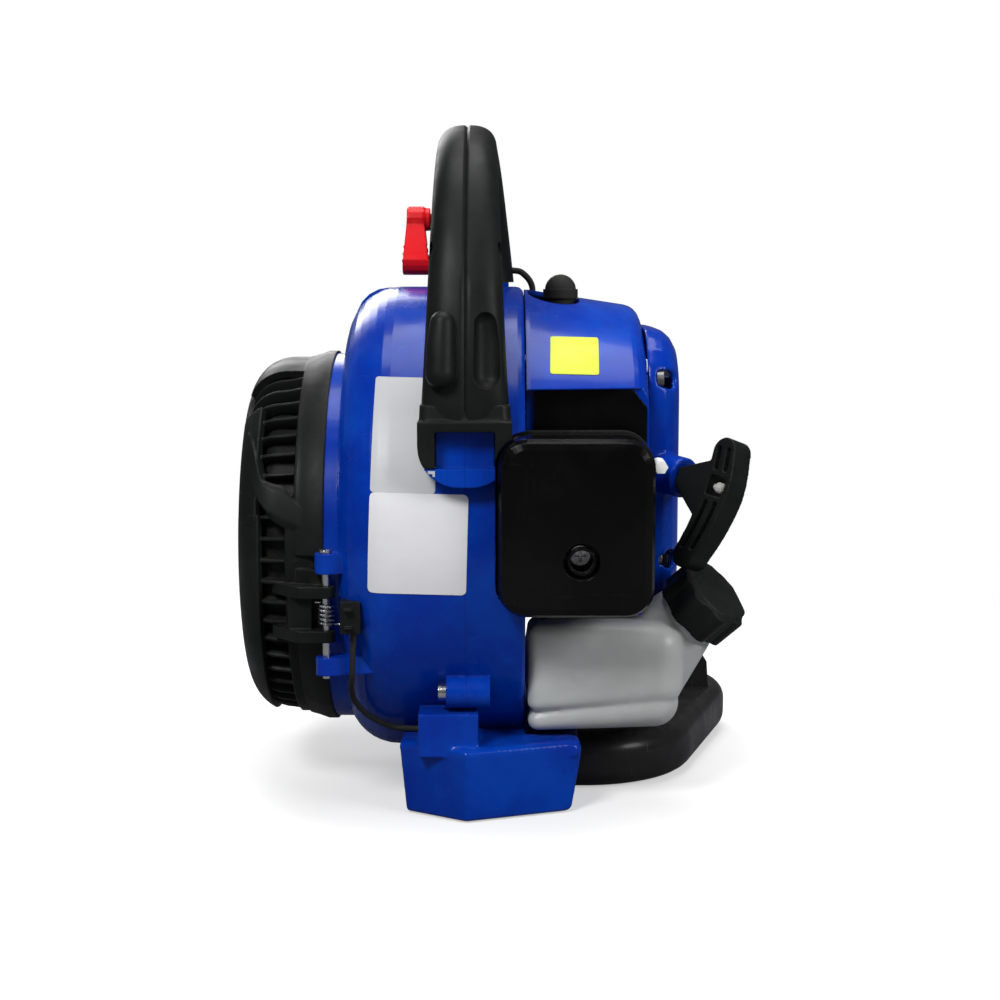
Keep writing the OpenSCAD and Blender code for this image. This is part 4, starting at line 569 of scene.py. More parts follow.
handleSettings = {
    "legY": -116.0, "low": 203.3, "barZ": 336.0, "frontY": 63.0, "frontLow": 268.3, "middleY": -22.0,
    "rearBend": (262.0, -84.0), "frontBend": (28.0, 318.0), "grip": 15.5, "rear": 6.0, "front": 9.5, "flare": 1.6,
    "deep": 15.0, "rearThin": 4.0, "frontThick": 1.5, "soft": 0.72, "rings": 150, "across": 30,
    "ends": ((0.0, 1.6), (0.0, 0.5)), "groove": 1.1, "grooveHalf": 1.4, "lipRise": 5.5, "lipRiseTo": 0.25,
    "lip": 1.6, "lipTo": 0.1, "near": 0.01, "gap": 0.04,
    "scoops": ((10.6, 250, 1.0, 6.2), (11.4, 226, 1.0, 7.4), (11.8, 240, 0.5, 6.6)),
    "triggerRoom": ((-6.2, -38.8, 305), (6.2, 28.6, 343.0)), "switchRoom": ((-5, -10.5, -9), (5, 10.5, 14)),
    "switchAt": (0, 29, 341), "switchTilt": -21, "leverHole": ((-40, 57, 304), (0, 57, 304), 3.05),
    "cableHole": ((0, 61, 275), (60, 61, 275), 2.3), "screws": ((-101, 285), (-40, 338), (69, 295)),
    "screwX": (11.0, 40.0), "screwR": 4.2,
}


def bezierAt(c, t):
    u = 1 - t
    return [u ** 3 * c[0][k] + 3 * t * u * u * c[1][k] + 3 * t * t * u * c[2][k] + t ** 3 * c[3][k] for k in (0, 1)]


def handlePlace(s, f=handleSettings):
    (legZ, rearY), (frontY, frontZ), barZ = f["rearBend"], f["frontBend"], f["barZ"]
    middle = (f["middleY"], barZ)
    if s <= 1:
        return bezierAt([(f["legY"], f["low"]), (f["legY"], legZ), (rearY, barZ), middle], s)
    return bezierAt([middle, (frontY, barZ), (f["frontY"], frontZ), (f["frontY"], f["frontLow"])], s - 1)


def handleSize(s, f=handleSettings):
    # half width and half depth of the section at s
    if s <= 1:
        return f["grip"] + f["rear"] * (1 - s) ** f["flare"], f["deep"] - f["rearThin"] * (1 - s) ** 2
    return f["grip"] + f["front"] * (s - 1) ** f["flare"], f["deep"] + f["frontThick"] * (s - 1) ** 2


def handleFace(z, steps=400):
    # y of the outer face of the rear leg at height z
    s = min((abs(handlePlace(k / steps)[1] - z), k / steps) for k in range(steps + 1))[1]
    return handlePlace(s)[0] - handleSize(s)[1]


def handleCutters(side, f=handleSettings):
    scoops = [p for x, z, proud, r in f["scoops"] for p in ballPoints(mm(side * x, handleFace(z) - proud, z), r / 1000)]
    holes = [barObject("hole", mm(*a), mm(*b), r / 1000) for a, b, r in (f["leverHole"], f["cableHole"])]
    room = boxObject("switchRoom", *(mm(*p) for p in f["switchRoom"]))
    room.data.transform(Matrix.Translation(mm(*f["switchAt"])) @ Matrix.Rotation(math.radians(f["switchTilt"]), 4, "X"))
    screws = [barObject("screwHole", *(mm(side * x, y, z) for x in f["screwX"]), f["screwR"] / 1000)
              for y, z in f["screws"]]
    triggerRoom = boxObject("triggerRoom", *(mm(*p) for p in f["triggerRoom"]))
    return [hullObject("scoop", scoops), triggerRoom, *holes, room, *screws]


def handleHalf(side, f=handleSettings):
    def softly(v):
        return math.copysign(abs(v) ** f["soft"], v)
    angles = [-math.pi / 2 * math.cos(math.pi * j / f["across"]) for j in range(f["across"] + 1)]
    rows = [*f["ends"]] + [(2.0 * i / f["rings"], 0.0) for i in range(f["rings"] + 1)]
    verts = []
    for s, inset in rows:
        a, b, mid = (handlePlace(at) for at in (max(s - f["near"], 0), min(s + f["near"], 2), s))
        h = Vector((b[0] - a[0], b[1] - a[1])).normalized()
        w, d = (v - inset for v in handleSize(s))
        for t in angles:
            x = max(w * softly(math.cos(t)), f["gap"])
            out = d * softly(math.sin(t))
            out -= math.copysign(max(0.0, 1 - x / f["grooveHalf"]) * f["groove"], out)
            lift = f["lipRise"] * (1 - s / f["lipRiseTo"]) ** 2 * (x / w) ** 2 if s < f["lipRiseTo"] else 0.0
            if s < f["lipTo"] and out < 0:
                out -= f["lip"] * (1 - s / f["lipTo"]) ** 2
            verts.append(mm(side * x, mid[0] - out * h[1], mid[1] + out * h[0] + lift))
    obj = meshObject("leftHandleShell" if side < 0 else "rightHandleShell", verts, loftFaces(len(rows), len(angles)))
    return tidyNormals(combine(obj, handleCutters(side)), sharp=32)


for side, node in ((-1, "handle_left_half"), (1, "handle_right_half")):
    finishPiece(handleHalf(side), "housing", "black_plastic", "satin black", node)


# tank: moulded body over a pan, with a shoulder under its neck

tankSettings = {
    "left": 31.0, "right": 111.0, "low": 33.0, "high": 97.0, "rear": -96.0, "front": 8.0, "r": 13.0, "leftR": 5.0,
    "drop": 22.0, "rise": 8.5, "step": 19.0, "frontStep": 8.0, "inset": 1.9, "leftInset": 0.3,
    "bodyY": -70.0, "panY": -38.0,
    "shoulder": ((28, -66, 69, 22), (21.5, -64, 57, 20)),  # in from the right side, y, z and radius
    "tilt": 48.7, "yaw": 30.3, "neck": (116, -71.5, 99), "neckR": 17.0, "neckLow": -8.0, "neckHigh": 9.0,
    "collarR": 18.5, "collar": (-6.0, -4.0), "voxel": 0.0009, "rounds": 7, "keep": 0.75,
}


def tankPiece(f=tankSettings):
    body, pan = [], []
    low, high = f["low"], f["high"]
    sides = ((f["leftR"], f["left"] + f["leftR"], f["leftInset"]), (f["r"], f["right"] - f["r"], -f["inset"]))
    for r, x, side in sides:
        rear, front = f["rear"] + r, f["front"] - r
        for y, z0, z1 in ((rear, low + f["step"], high), (f["bodyY"], low + f["step"], high),
                          (front, low + f["frontStep"], high - f["drop"])):
            body += ballPoints(mm(x, y, z1 - r), r / 1000) + ballPoints(mm(x, y, z0 + r), r / 1000)
        for y, z0 in ((rear + f["inset"], low + f["rise"]), (f["panY"], low), (front - f["inset"], low)):
            pan += ballPoints(mm(x + side, y, z0 + r), r / 1000)
    tank = hullObject("mouldedTank", body)
    tilt, yaw = math.radians(f["tilt"]), math.radians(f["yaw"])
    axis = Vector((math.sin(tilt) * math.cos(yaw), -math.sin(tilt) * math.sin(yaw), math.cos(tilt))) / 1000
    neck = mm(*f["neck"])
    shoulder = [p for x, y, z, r in f["shoulder"] for p in ballPoints(mm(f["right"] - x, y, z), r / 1000)]
    shoulder += [p for along in f["collar"] for p in discPoints(neck + along * axis, axis, f["collarR"] / 1000)]
    stem = barObject("neck", neck + f["neckLow"] * axis, neck + f["neckHigh"] * axis, f["neckR"] / 1000)
    joinInto(tank, [hullObject("pan", pan), hullObject("shoulder", shoulder), stem])
    return soften(tank, f["voxel"], f["rounds"], f["keep"])


finishPiece(tankPiece(), "housing", "tank_plastic", "milky tank", "fuel_tank")


# stand tube: rounded square section swept along its bends

tubeSettings = {
    "half": 14.5, "corner": 10.5, "cornerSteps": 7, "bend": 50.0, "turn": 72.0, "side": 85.0, "frontBend": 38.0,
    "start": 62.5, "rearY": -42.0, "socketX": 45.0, "steps": (28, 34),
}


def arcPoints(c, r, start, end, n):
    return [(c[0] + r * math.cos(math.radians(start + (end - start) * i / n)),
             c[1] + r * math.sin(math.radians(start + (end - start) * i / n))) for i in range(n + 1)]


def tubeLine(f=tubeSettings):
    rear = arcPoints((f["start"], f["rearY"] + f["bend"]), f["bend"], -90, f["turn"] - 90, f["steps"][0])
    t = math.radians(f["turn"])
    c = (rear[-1][0] + f["side"] * math.cos(t) - f["frontBend"] * math.sin(t),
         rear[-1][1] + f["side"] * math.sin(t) + f["frontBend"] * math.cos(t))
    front = arcPoints(c, f["frontBend"], f["turn"] - 90, 90, f["steps"][1])
    flat = [(f["socketX"], f["rearY"])] + rear + front + [(f["socketX"], c[1] + f["frontBend"])]
    return [mm(x, y, f["half"]) for x, y in flat]


def squareSweepGroup():
    g, given, out = geometryGroup("sweepSquare", [("Half Width", "Float", 0.01), ("Corner", "Float", 0.003)])
    width = product(g, given["Half Width"], 2.0)
    quad = addNode(g, "GeometryNodeCurvePrimitiveQuadrilateral", {"Width": width, "Height": width}).outputs[0]
    inputs = {"Curve": quad, "Radius": given["Corner"], "Count": tubeSettings["cornerSteps"]}
    rounded = addNode(g, "GeometryNodeFilletCurve", inputs, mode="POLY").outputs[0]
    up = addNode(g, "GeometryNodeSetCurveNormal", {"Curve": given["Geometry"]}, mode="Z_UP").outputs["Curve"]
    return paintedEnd(g, sweepAlong(g, up, rounded), given, out)


tube = runNodes(curveObject("tubeLine", tubeLine()), squareSweepGroup(), {
    "Half Width": tubeSettings["half"] / 1000, "Corner": tubeSettings["corner"] / 1000,
    "Material": materials["painted tube"]}, "bentStandTube")
finishPiece(tidyNormals(tube, sharp=40), "housing", "black_paint", "painted tube", "stand_tube")


# pieces whose moulded edges are rounded: copies of their solids, remeshed

# body, voxel, rounds of smoothing and share of the faces kept
roundedPieces = {
    "starter_housing": ("housing", 0.0009, 6, 0.6),
    "starter_grip": ("grip", 0.00045, 5, 0.6),
    "cruise_lever": ("cruise", 0.0004, 8, 0.7),
    "throttle_trigger": ("trigger", 0.0005, 4, 0.6),
    "stop_switch": ("switch", 0.00035, 3, 0.6),
    "fuel_cap": ("cap", 0.0006, 4, 0.7),
    "handle_yoke": ("housing", 0.0006, 4, 0.7),
}
leverSettings = {
    "from": -25.9, "middle": -29.5, "low": 278.0, "high": 304.0, "outer": 1.12, "inner": 1.85, "top": 0.85,
    "stretch": 1.055, "ridgeFrom": -24.0, "ridgeLow": 279.5, "ridgeHigh": 291.5, "ridgePitch": 4.0, "ridge": 0.5,
}
# discs as x to both sides, y, and z at the left and right
collarSettings = {"r": 5.5, "discs": ((17, -122, 200, 200), (16.5, -120, 211, 211), (16, -108, 200, 211))}


def wedgeLever(piece, f=leverSettings):
    # leans in towards the grip at its foot, with three soft finger ridges
    for v in piece.data.vertices:
        x, y, z = v.co * 1000
        if x >= f["from"]:
            continue
        side = f["inner"] if x > f["middle"] else f["outer"]
        x = f["middle"] + (x - f["middle"]) * (side + (f["top"] - side) * ramp(z, f["low"], f["high"]))
        if z < f["high"]:
            z = f["high"] - (f["high"] - z) * f["stretch"]
        if f["ridgeLow"] < z < f["ridgeHigh"] and x < f["ridgeFrom"]:
            x -= f["ridge"] * max(0.0, math.sin((z - f["ridgeLow"]) / f["ridgePitch"] * 2 * math.pi))
        v.co = mm(x, y, z)


def yokeCollar(f=collarSettings):
    points = []
    for x, y, left, right in f["discs"]:
        for side, z in ((-x, left), (x, right)):
            points += discPoints(mm(side, y, z), (0, 0, 1), f["r"] / 1000)
    return hullObject("collar", points)


for node, (body, *cells) in roundedPieces.items():
    piece = mergedCopy(node, "".join(w.title() for w in node.split("_")) + "Rounded")
    if node == "handle_yoke":
        joinInto(piece, [yokeCollar()])
    soften(piece, *cells)
    if node == "cruise_lever":
        wedgeLever(piece)
    finishPiece(piece, body, slotOfNode[node], finishOfSlot[slotOfNode[node]], node)


# foot: the CAD foot inside a rounded hull, filled up under the tank's raised edge

footSettings = {
    # corners of the outline as x, y and how far x and y move when it is drawn in by 1
    "plan": ((0, -118, 0, 1), (59, -97, -1.4, 0.6), (55, 134, -1, -2), (-26, 134, 1, -2), (-34, -97, 0.8, 0.6)),
    "high": 38.0, "r": 5.0, "block": ((-24, -112, 28), (6, -72, 55)), "fill": ((28, -99.2, 30), (62, -84, 38)),
    "lowInset": 6.6, "highInset": 3.8, "voxel": 0.001, "rounds": 4, "keep": 0.7,
}


def footPiece(f=footSettings):
    r = f["r"]
    foot = mergedCopy("stand_foot", "standFootRounded")
    levels = ((f["lowInset"], r), (f["highInset"], f["high"] - r))
    corners = [mm(x + u * inset, y + v * inset, z) for inset, z in levels for x, y, u, v in f["plan"]]
    outer = hullObject("outer", [p for c in corners for p in ballPoints(c, r / 1000, 12)])
    block, fill = (boxObject(name, mm(*f[name][0]), mm(*f[name][1])) for name in ("block", "fill"))
    combine(outer, [block], "UNION")
    combine(combine(foot, [fill], "UNION"), [outer], "INTERSECT")
    return soften(foot, f["voxel"], f["rounds"], f["keep"])


finishPiece(footPiece(), "housing", slotOfNode["stand_foot"], "gloss blue", "stand_foot")


# inlet grille: bands turned about the fan axis, radial ribs, face rings, lip and hinge arms, and a dark wall behind the
# ribs as painted shade

grilleSettings = {
    "x": -76.3, "axisZ": 130.0, "r": 98.0, "straight": 19.0, "edge": 22.0, "edgeTurn": 76.0, "depth": 44.0,
    "wall": 4.0, "round": 0.5,
    "ribs": 54, "ribHalf": 1.15, "ribSink": 2.6, "ribTop": 0.6, "ribRound": 0.8, "ribFlat": 0.55,
    "ribDeep": 9.0, "faceDeep": 5.0, "sinkRamp": (9, 18), "riseRamp": (60, 48), "thinRamp": (40, 60),
    "ribSteps": (9, 14, 19, 23, 27, 31, 35, 39, 43, 47, 52, 66, 80, 112), "bandStep": 2.5,
    # each band: from and to along the section, from and to degrees upward from the rear, steps, stands out, thickness
    "upperBand": (0, 10.5, 14, 262, 130, 0.4),
    "lowerBand": (0, 15, -98, 10, 70, -0.6),
    "topCap": (9, 46, 70, 104, 26, 0.1),
    "leftBand": (29, 53, -98, 14, 70, 0.2),
    "edgeBand": (30.5, 52, 12, 52, 30, 0.2),
    "faceRing": (48, 53, 14, 262, 110, 0.0),
    # the next band is a dark wall deep behind the open ribs: painted shade, in place of the shaded inside behind the
    # grille
    "shadeWall": (7, 53, -98, 66, 90, -9.6, 11.0),
    "middleRing": (72, 76, 0, 360, 90, 0.0),
    "innerRing": (94, 98, 0, 360, 80, 0.0),
    "skirt": ((-2, 9.5), (0.4, 9.5), (1.6, 5), (3.4, 0), (3.4, -4.6), (2.3, -4.6), (2.3, 0.3), (-2, 3)),
    "skirtTurn": (2, 358, 150),
    "hub": (108, 112, 118, 124), "hubSink": 0.2, "hubWall": (3.4, 3.2), "hubLeast": 0.02, "hubTurn": (0, 360, 60),
    # lip: (length along the section, angle) of its two edges
    "lipHigh": ((-1, 15.8), (3, 16), (9, 18), (13, 20.5), (16, 22.6), (22, 23.5), (27, 24.8), (30, 31),
                (34, 41), (38, 46)),
    "lipLow": ((-1, 7.3), (3, 8), (7, 9), (15, 10), (21, 12), (26, 15.5), (30, 18.5), (35, 22), (38, 26)),
    "lipRows": 40, "lipColumns": 9, "lipOut": 0.9, "lipRound": 1.5, "lipDeep": 5.0, "lipLength": 38.0,
    "hinge": (-70.0, -104.0), "bend": (-82.0, -104.0), "root": (-94.3, -90.0), "armR": 4.4,
    "armLow": (90.5, 96.5), "armHigh": (113.0, 119.0), "armBlock": ((-13, 1, -1), (-1, 10, 1)),
    "pinR": 2.06, "pinLow": 60.0, "pinHigh": 140.0, "voxel": 0.0004, "rounds": 3, "keep": 0.5,
}


def grilleProfile(s, inset=0.0, f=grilleSettings):
    # radius and depth at length s along the grille's section, drawn in along its normal
    c = f["r"] - f["edge"]
    turn = math.radians(f["edgeTurn"])
    if s < f["straight"]:
        return f["r"] - inset, s
    if s < f["straight"] + f["edge"] * turn:
        a = (s - f["straight"]) / f["edge"]
        return c + (f["edge"] - inset) * math.cos(a), f["straight"] + (f["edge"] - inset) * math.sin(a)
    r0, d0 = c + f["edge"] * math.cos(turn), f["straight"] + f["edge"] * math.sin(turn)
    along = Vector((-r0, f["depth"] - d0)).normalized()
    t = s - f["straight"] - f["edge"] * turn
    return r0 + along.x * t + along.y * -inset, d0 + along.y * t + along.x * inset


def aroundFan(r, d, angle, f=grilleSettings):
    # point at radius r and depth d, turned by the angle upward from the rear
    a = math.radians(angle)
    return mm(f["x"] - d, -r * math.cos(a), f["axisZ"] + r * math.sin(a))


def turned(name, loop, start, end, count):
    around = end - start == 360
    rows = count if around else count + 1
    verts = [aroundFan(r, d, start + (end - start) * i / count) for i in range(rows) for r, d in loop]
    return meshObject(name, verts, loftFaces(rows, len(loop), around), sharp=40)


def grilleBand(name, f=grilleSettings):
    s0, s1, start, end, count, out, *wall = f[name]
    steps, soft, thick = max(2, int((s1 - s0) / f["bandStep"])), f["round"], (wall or [f["wall"]])[0]
    outer, inner = ([grilleProfile(s0 + (s1 - s0) * i / steps, inset) for i in range(steps + 1)]
                    for inset in (-out, thick))
    outer[0], outer[-1] = grilleProfile(s0 + soft, -out), grilleProfile(s1 - soft, -out)
    loop = outer + [grilleProfile(s1, soft - out)] + inner[::-1] + [grilleProfile(s0, soft - out)]
    return turned(name, loop, start, end, count)


def ribGroup():
    g, given, out = geometryGroup("radialRibs", [("Count", "Int", 54), ("Pivot", "Vector")])
    line = addNode(g, "GeometryNodeMeshLine", {"Count": given["Count"], "Offset": (0, 0, 0)})
    place = addNode(g, "GeometryNodeInstanceOnPoints", {"Points": line.outputs["Mesh"], "Instance": given["Geometry"]})
    step = mathNode(g, "DIVIDE", 2 * math.pi, given["Count"])
    turn = addNode(g, "ShaderNodeCombineXYZ", {"X": product(g, addNode(g, "GeometryNodeInputIndex").outputs[0], step)})
    spin = addNode(g, "GeometryNodeRotateInstances", {
        "Instances": place.outputs[0], "Rotation": turn.outputs[0], "Pivot Point": given["Pivot"],
        "Local Space": False})
    return paintedEnd(g, spin.outputs[0], given, out)


def oneRib(f=grilleSettings):
    w, verts = f["ribHalf"], []
    for s in f["ribSteps"]:
        top = f["ribTop"] + (f["ribSink"] - f["ribTop"]) * ramp(s, *f["sinkRamp"]) * ramp(s, *f["riseRamp"])
        deep = f["ribDeep"] + (f["faceDeep"] - f["ribDeep"]) * ramp(s, *f["thinRamp"])
        flat, low = w * f["ribFlat"], top + f["ribRound"]
        for u, inset in ((-w, deep), (w, deep), (w, low), (flat, top), (-flat, top), (-w, low)):
            r, d = grilleProfile(s, inset)
            verts.append(mm(f["x"] - d, -r, f["axisZ"] + u))
    return meshObject("grilleRib", verts, loftFaces(len(f["ribSteps"]), 6), sharp=50)


def angleAt(line, s):
    for (s0, a0), (s1, a1) in zip(line, line[1:]):
        if s <= s1:
            return a0 + (a1 - a0) * (s - s0) / (s1 - s0)
    return line[-1][1]


def crescent(f=grilleSettings):
    # smooth lip under the open ribs
    rows, columns = f["lipRows"], f["lipColumns"]
    verts = []
    for s in (f["lipLength"] * i / (rows - 1) for i in range(rows)):
        low, high = angleAt(f["lipLow"], s), angleAt(f["lipHigh"], s)
        angles = [low + (high - low) * k / (columns - 1) for k in range(columns)]
        insets = [(f["lipRound"] if k in (0, columns - 1) else 0) - f["lipOut"] for k in range(columns)]
        for angle, inset in [*zip(angles, insets), *((a, f["lipDeep"]) for a in reversed(angles))]:
            verts.append(aroundFan(*grilleProfile(s, inset), angle))
    return meshObject("crescent", verts, loftFaces(rows, 2 * columns), sharp=50)


def hingeArms(f=grilleSettings):
    arms = []
    for low, high in (f["armLow"], f["armHigh"]):
        for ends in ((f["hinge"], f["bend"]), (f["bend"], f["root"])):
            arms.append(hullObject("arm", [p for x, y in ends for z in (low, high)
                                           for p in discPoints(mm(x, y, z), (0, 0, 1), f["armR"] / 1000)]))
    (x0, y0, z0), (x1, y1, z1) = f["armBlock"]
    x, y, low, high = f["x"], f["hinge"][1], f["armLow"][1], f["armHigh"][0]
    arms.append(boxObject("armBlock", mm(x + x0, y + y0, low + z0), mm(x + x1, y + y1, high + z1)))
    arm = soften(joinInto(arms[0], arms[1:]), f["voxel"], f["rounds"], f["keep"])
    low, high = (mm(*f["hinge"], f[end]) for end in ("pinLow", "pinHigh"))
    return tidyNormals(combine(arm, [barObject("pinHole", low, high, f["pinR"] / 1000)]), sharp=40)


def grillePiece(f=grilleSettings):
    pivot = tuple(mm(0, 0, f["axisZ"]))
    values = {"Count": f["ribs"], "Pivot": pivot, "Material": materials["satin black"]}
    grille = runNodes(oneRib(), ribGroup(), values, "inletGrille")
    skirt = [(f["r"] + r, d) for r, d in f["skirt"]]
    back, wall = f["hubWall"]
    hub = [grilleProfile(s) for s in f["hub"]] + [(0.0, f["depth"] - f["hubSink"]), (0.0, f["depth"] - back)]
    hub += [grilleProfile(s, wall) for s in (f["hub"][-1], f["hub"][0])]
    joinInto(grille, [
        grilleBand("upperBand"), turned("skirt", skirt, *f["skirtTurn"]),
        *(grilleBand(name) for name in ("lowerBand", "topCap", "leftBand", "edgeBand", "faceRing", "shadeWall")),
        crescent(), grilleBand("middleRing"), grilleBand("innerRing"),
        turned("hubDisc", [(max(r, f["hubLeast"]), d) for r, d in hub], *f["hubTurn"]), hingeArms()])
    return tidyNormals(grille, sharp=42)


finishPiece(grillePiece(), "grille", "black_plastic", "satin black", "inlet_grille")


# cables: round sweeps along their routes

cableSettings = [
    {"name": "throttleCableRound", "node": "throttle_cable", "r": 1.8, "route": [
        (0, 25.4, 329), (0, 38, 325), (1, 50, 307), (3, 54, 293), (9, 58, 281), (16, 61, 275.6), (24, 61, 275),
        (30, 61, 273.5), (35.5, 60, 266), (35.5, 60, 252), (37, 57, 243), (44, 46, 239), (54, 30, 239),
        (66, 6, 238), (69, -20, 238), (69, -34, 233), (67, -46, 220), (65, -60, 201.3), (63.5, -66, 196.3)]},
    {"name": "interlockLeadRound", "node": "interlock_lead", "r": 1.5, "route": [
        (-56, -110.5, 96.6), (-56, -110.5, 93), (-56.5, -110.5, 84), (-57, -108.5, 74), (-58, -101, 66), (-57, -91, 57),
        (-50, -83, 47), (-39, -80, 41), (-31, -80, 39.9), (-24.3, -80, 39.8)]},
]
cableShared = {"sides": 20, "steps": 8, "finish": "rubber"}


def smoothLine(points, n):
    # curve through all the points, with n steps from each to the next
    p = [Vector(v) for v in points]
    out = []
    for i in range(len(p) - 1):
        a, b, c, d = p[max(i - 1, 0)], p[i], p[i + 1], p[min(i + 2, len(p) - 1)]
        for t in (k / n for k in range(n)):
            out.append(0.5 * (2 * b + (c - a) * t + (2 * a - 5 * b + 4 * c - d) * t * t
                              + (3 * b - a - 3 * c + d) * t ** 3))
    return out + [p[-1]]


def roundSweepGroup():
    g, given, out = geometryGroup("sweepRound", [("Radius", "Float", 0.001), ("Sides", "Int", 20)])
    circle = addNode(g, "GeometryNodeCurvePrimitiveCircle", {"Radius": given["Radius"], "Resolution": given["Sides"]})
    return paintedEnd(g, sweepAlong(g, given["Geometry"], circle.outputs[0]), given, out)


roundSweep = roundSweepGroup()
for s in cableSettings:
    line = curveObject("line", [p / 1000 for p in smoothLine(s["route"], cableShared["steps"])])
    values = {"Radius": s["r"] / 1000, "Sides": cableShared["sides"], "Material": materials[cableShared["finish"]]}
    cable = runNodes(line, roundSweep, values, s["name"])
    finishPiece(tidyNormals(cable, sharp=50), "housing", slotOfNode[s["node"]], cableShared["finish"], s["node"])


# dark plate at the back of the hood's recess, by the air box: painted shade where the recess lies in shadow

shadePlateSettings = {"y": (-79.6, -78.1), "r": 1.6,
                     "corners": ((36, 188), (90, 188), (90, 206), (84, 213.5), (36, 213.5))}


def shadePlate(f=shadePlateSettings):
    centers = [mm(x, y, z) for y in f["y"] for x, z in f["corners"]]
    plate = hullObject("recessShadePlate", [p for c in centers for p in discPoints(c, (0, 1, 0), f["r"] / 1000, 16)])
    return tidyNormals(plate, sharp=40)


finishPiece(shadePlate(), "housing", "black_plastic", "gloss black")


# cup round the air cleaner screw, so that it sits near the cover's face

cupSettings = {"r": 6.9, "hole": 5.5, "proud": 0.9, "deep": 4.0, "through": (-5.0, 20.0)}


def screwCup(f=cupSettings):
    x, _, z = ((a + b) * 500 for a, b in zip(*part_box("filter_cover_screw")))
    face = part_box("filter_cover")[0][1] * 1000 + f["proud"]
    cup = barObject("screwCup", mm(x, face, z), mm(x, face + f["deep"], z), f["r"] / 1000)
    hole = barObject("cupHole", *(mm(x, face + y, z) for y in f["through"]), f["hole"] / 1000)
    return tidyNormals(combine(cup, [hole]), sharp=40)


finishPiece(screwCup(), "housing", "black_gloss", "gloss black")


# label plates, left bare

labelSettings = [
    {"name": "yellowPlate",
     "x": (42.5, 67.5), "z": (223.0, 241.0), "turn": -2.0, "corner": 1.2, "color": (0.46, 0.52, 0.004),
     "on": ("engine_cover",), "finish": "label yellow"},
    {"name": "palePlate",
     "x": (-47.5, 1.0), "z": (117.5, 167.0), "turn": -1.5, "corner": 2.5, "color": (0.6, 0.6, 0.62),
     "on": ("volute_outer_half", "volute_inner_half"), "finish": "label pale"},
    {"name": "greyPlate",
     "x": (-46.0, -14.0), "z": (167.2, 222.0), "turn": -1.5, "corner": 1.5, "color": (0.42, 0.43, 0.45),
     "on": ("volute_outer_half",), "finish": "label grey"},
]
plateSettings = {"columns": 28, "rows": 40, "outer": 0.28, "inner": -0.1, "from": -300.0, "sharp": 50.0}
labelFinish = {
    "rough": (0.32, 0.46), "grain": (700, 0.01), "lighter": 1.06, "darker": 0.8, "wave": 0.9, "scratch": 0.25,
    "edge": 0.25, "radius": 0.0003, "shine": 0.3, "dust": (0.05, 0.2),
}


def labelMaterial(name, color, f=labelFinish):
    light = tuple(min(1, c * f["lighter"]) for c in color)
    worn = tuple(c * f["darker"] for c in color)
    return hardMaterial(name, {**f, "color": color, "light": light, "worn": worn}, {"Specular IOR Level": f["shine"]})


def surfaceTree(names):
    verts, faces = [], []
    for n in names:
        base = len(verts)
        verts += [nodes[n].matrix_world @ v.co for v in nodes[n].data.vertices]
        faces += [tuple(base + i for i in p.vertices) for p in nodes[n].data.polygons]
    return BVHTree.FromPolygons(verts, faces)


def roundedCorner(u, v, half, r):
    # draws a point of the plate's grid in to its rounded corner
    du, dv = (max(0, r - (h - abs(c))) for c, h in zip((u, v), half))
    far = math.hypot(du, dv)
    if du and dv and far > r:
        u -= math.copysign(du * (1 - r / far), u)
        v -= math.copysign(dv * (1 - r / far), v)
    return u, v


def platePiece(s, f=plateSettings):
    # a thin plate laid on the surface behind it
    tree = surfaceTree(s["on"])
    (x0, x1), (z0, z1) = s["x"], s["z"]
    cx, cz, half = (x0 + x1) / 2, (z0 + z1) / 2, ((x1 - x0) / 2, (z1 - z0) / 2)
    nx, nz, spin = f["columns"], f["rows"], math.radians(s["turn"])
    verts, faces = [], []
    for out, i, j in itertools.product((f["outer"], f["inner"]), range(nx + 1), range(nz + 1)):
        u, v = x0 + (x1 - x0) * i / nx - cx, z0 + (z1 - z0) * j / nz - cz
        u, v = roundedCorner(u, v, half, s["corner"])
        x, z = cx + u * math.cos(spin) - v * math.sin(spin), cz + u * math.sin(spin) + v * math.cos(spin)
        hit, normal, _, _ = tree.ray_cast(mm(x, f["from"], z), Vector((0, 1, 0)))
        verts.append(hit + (-normal if normal.y > 0 else normal) * out / 1000)
    n = (nx + 1) * (nz + 1)
    for a in (i * (nz + 1) + j for i in range(nx) for j in range(nz)):
        faces += [(a, a + 1, a + nz + 2, a + nz + 1), (n + a, n + a + nz + 1, n + a + nz + 2, n + a + 1)]
    rim = [i * (nz + 1) for i in range(nx + 1)] + [nx * (nz + 1) + j for j in range(1, nz + 1)]
    rim += [i * (nz + 1) + nz for i in range(nx - 1, -1, -1)] + list(range(nz - 1, 0, -1))
    faces += [(a, b, n + b, n + a) for a, b in zip(rim, rim[1:] + rim[:1])]
    return meshObject(s["name"], verts, faces, f["sharp"])


for s in labelSettings:
    materials[s["finish"]] = labelMaterial(s["finish"], s["color"])
    finishPiece(platePiece(s), "housing", slotOfNode[s["on"][0]], s["finish"])


# camera, stage and light

cameraSettings = {"at": (0.017, -1.0, 0.277), "pitch": 7.3, "lens": 65.5, "sensor": 36.0}
camera = newObject("camera", bpy.data.cameras.new("camera"))
camera.data.lens = cameraSettings["lens"]
camera.data.sensor_width = cameraSettings["sensor"]
camera.location = cameraSettings["at"]
camera.rotation_euler = (math.radians(90 - cameraSettings["pitch"]), 0, 0)
bpy.context.scene.camera = camera

stageSettings = {"floor": (0.93, 0.93, 0.93), "bounce": (0.16, 0.16, 0.17), "rough": 0.9, "size": 6.0, "z": -0.0005,
                 "middle": (0.05, 0.05, 0.0), "fade": (0.28, 0.6), "fadeLeast": 0.45}


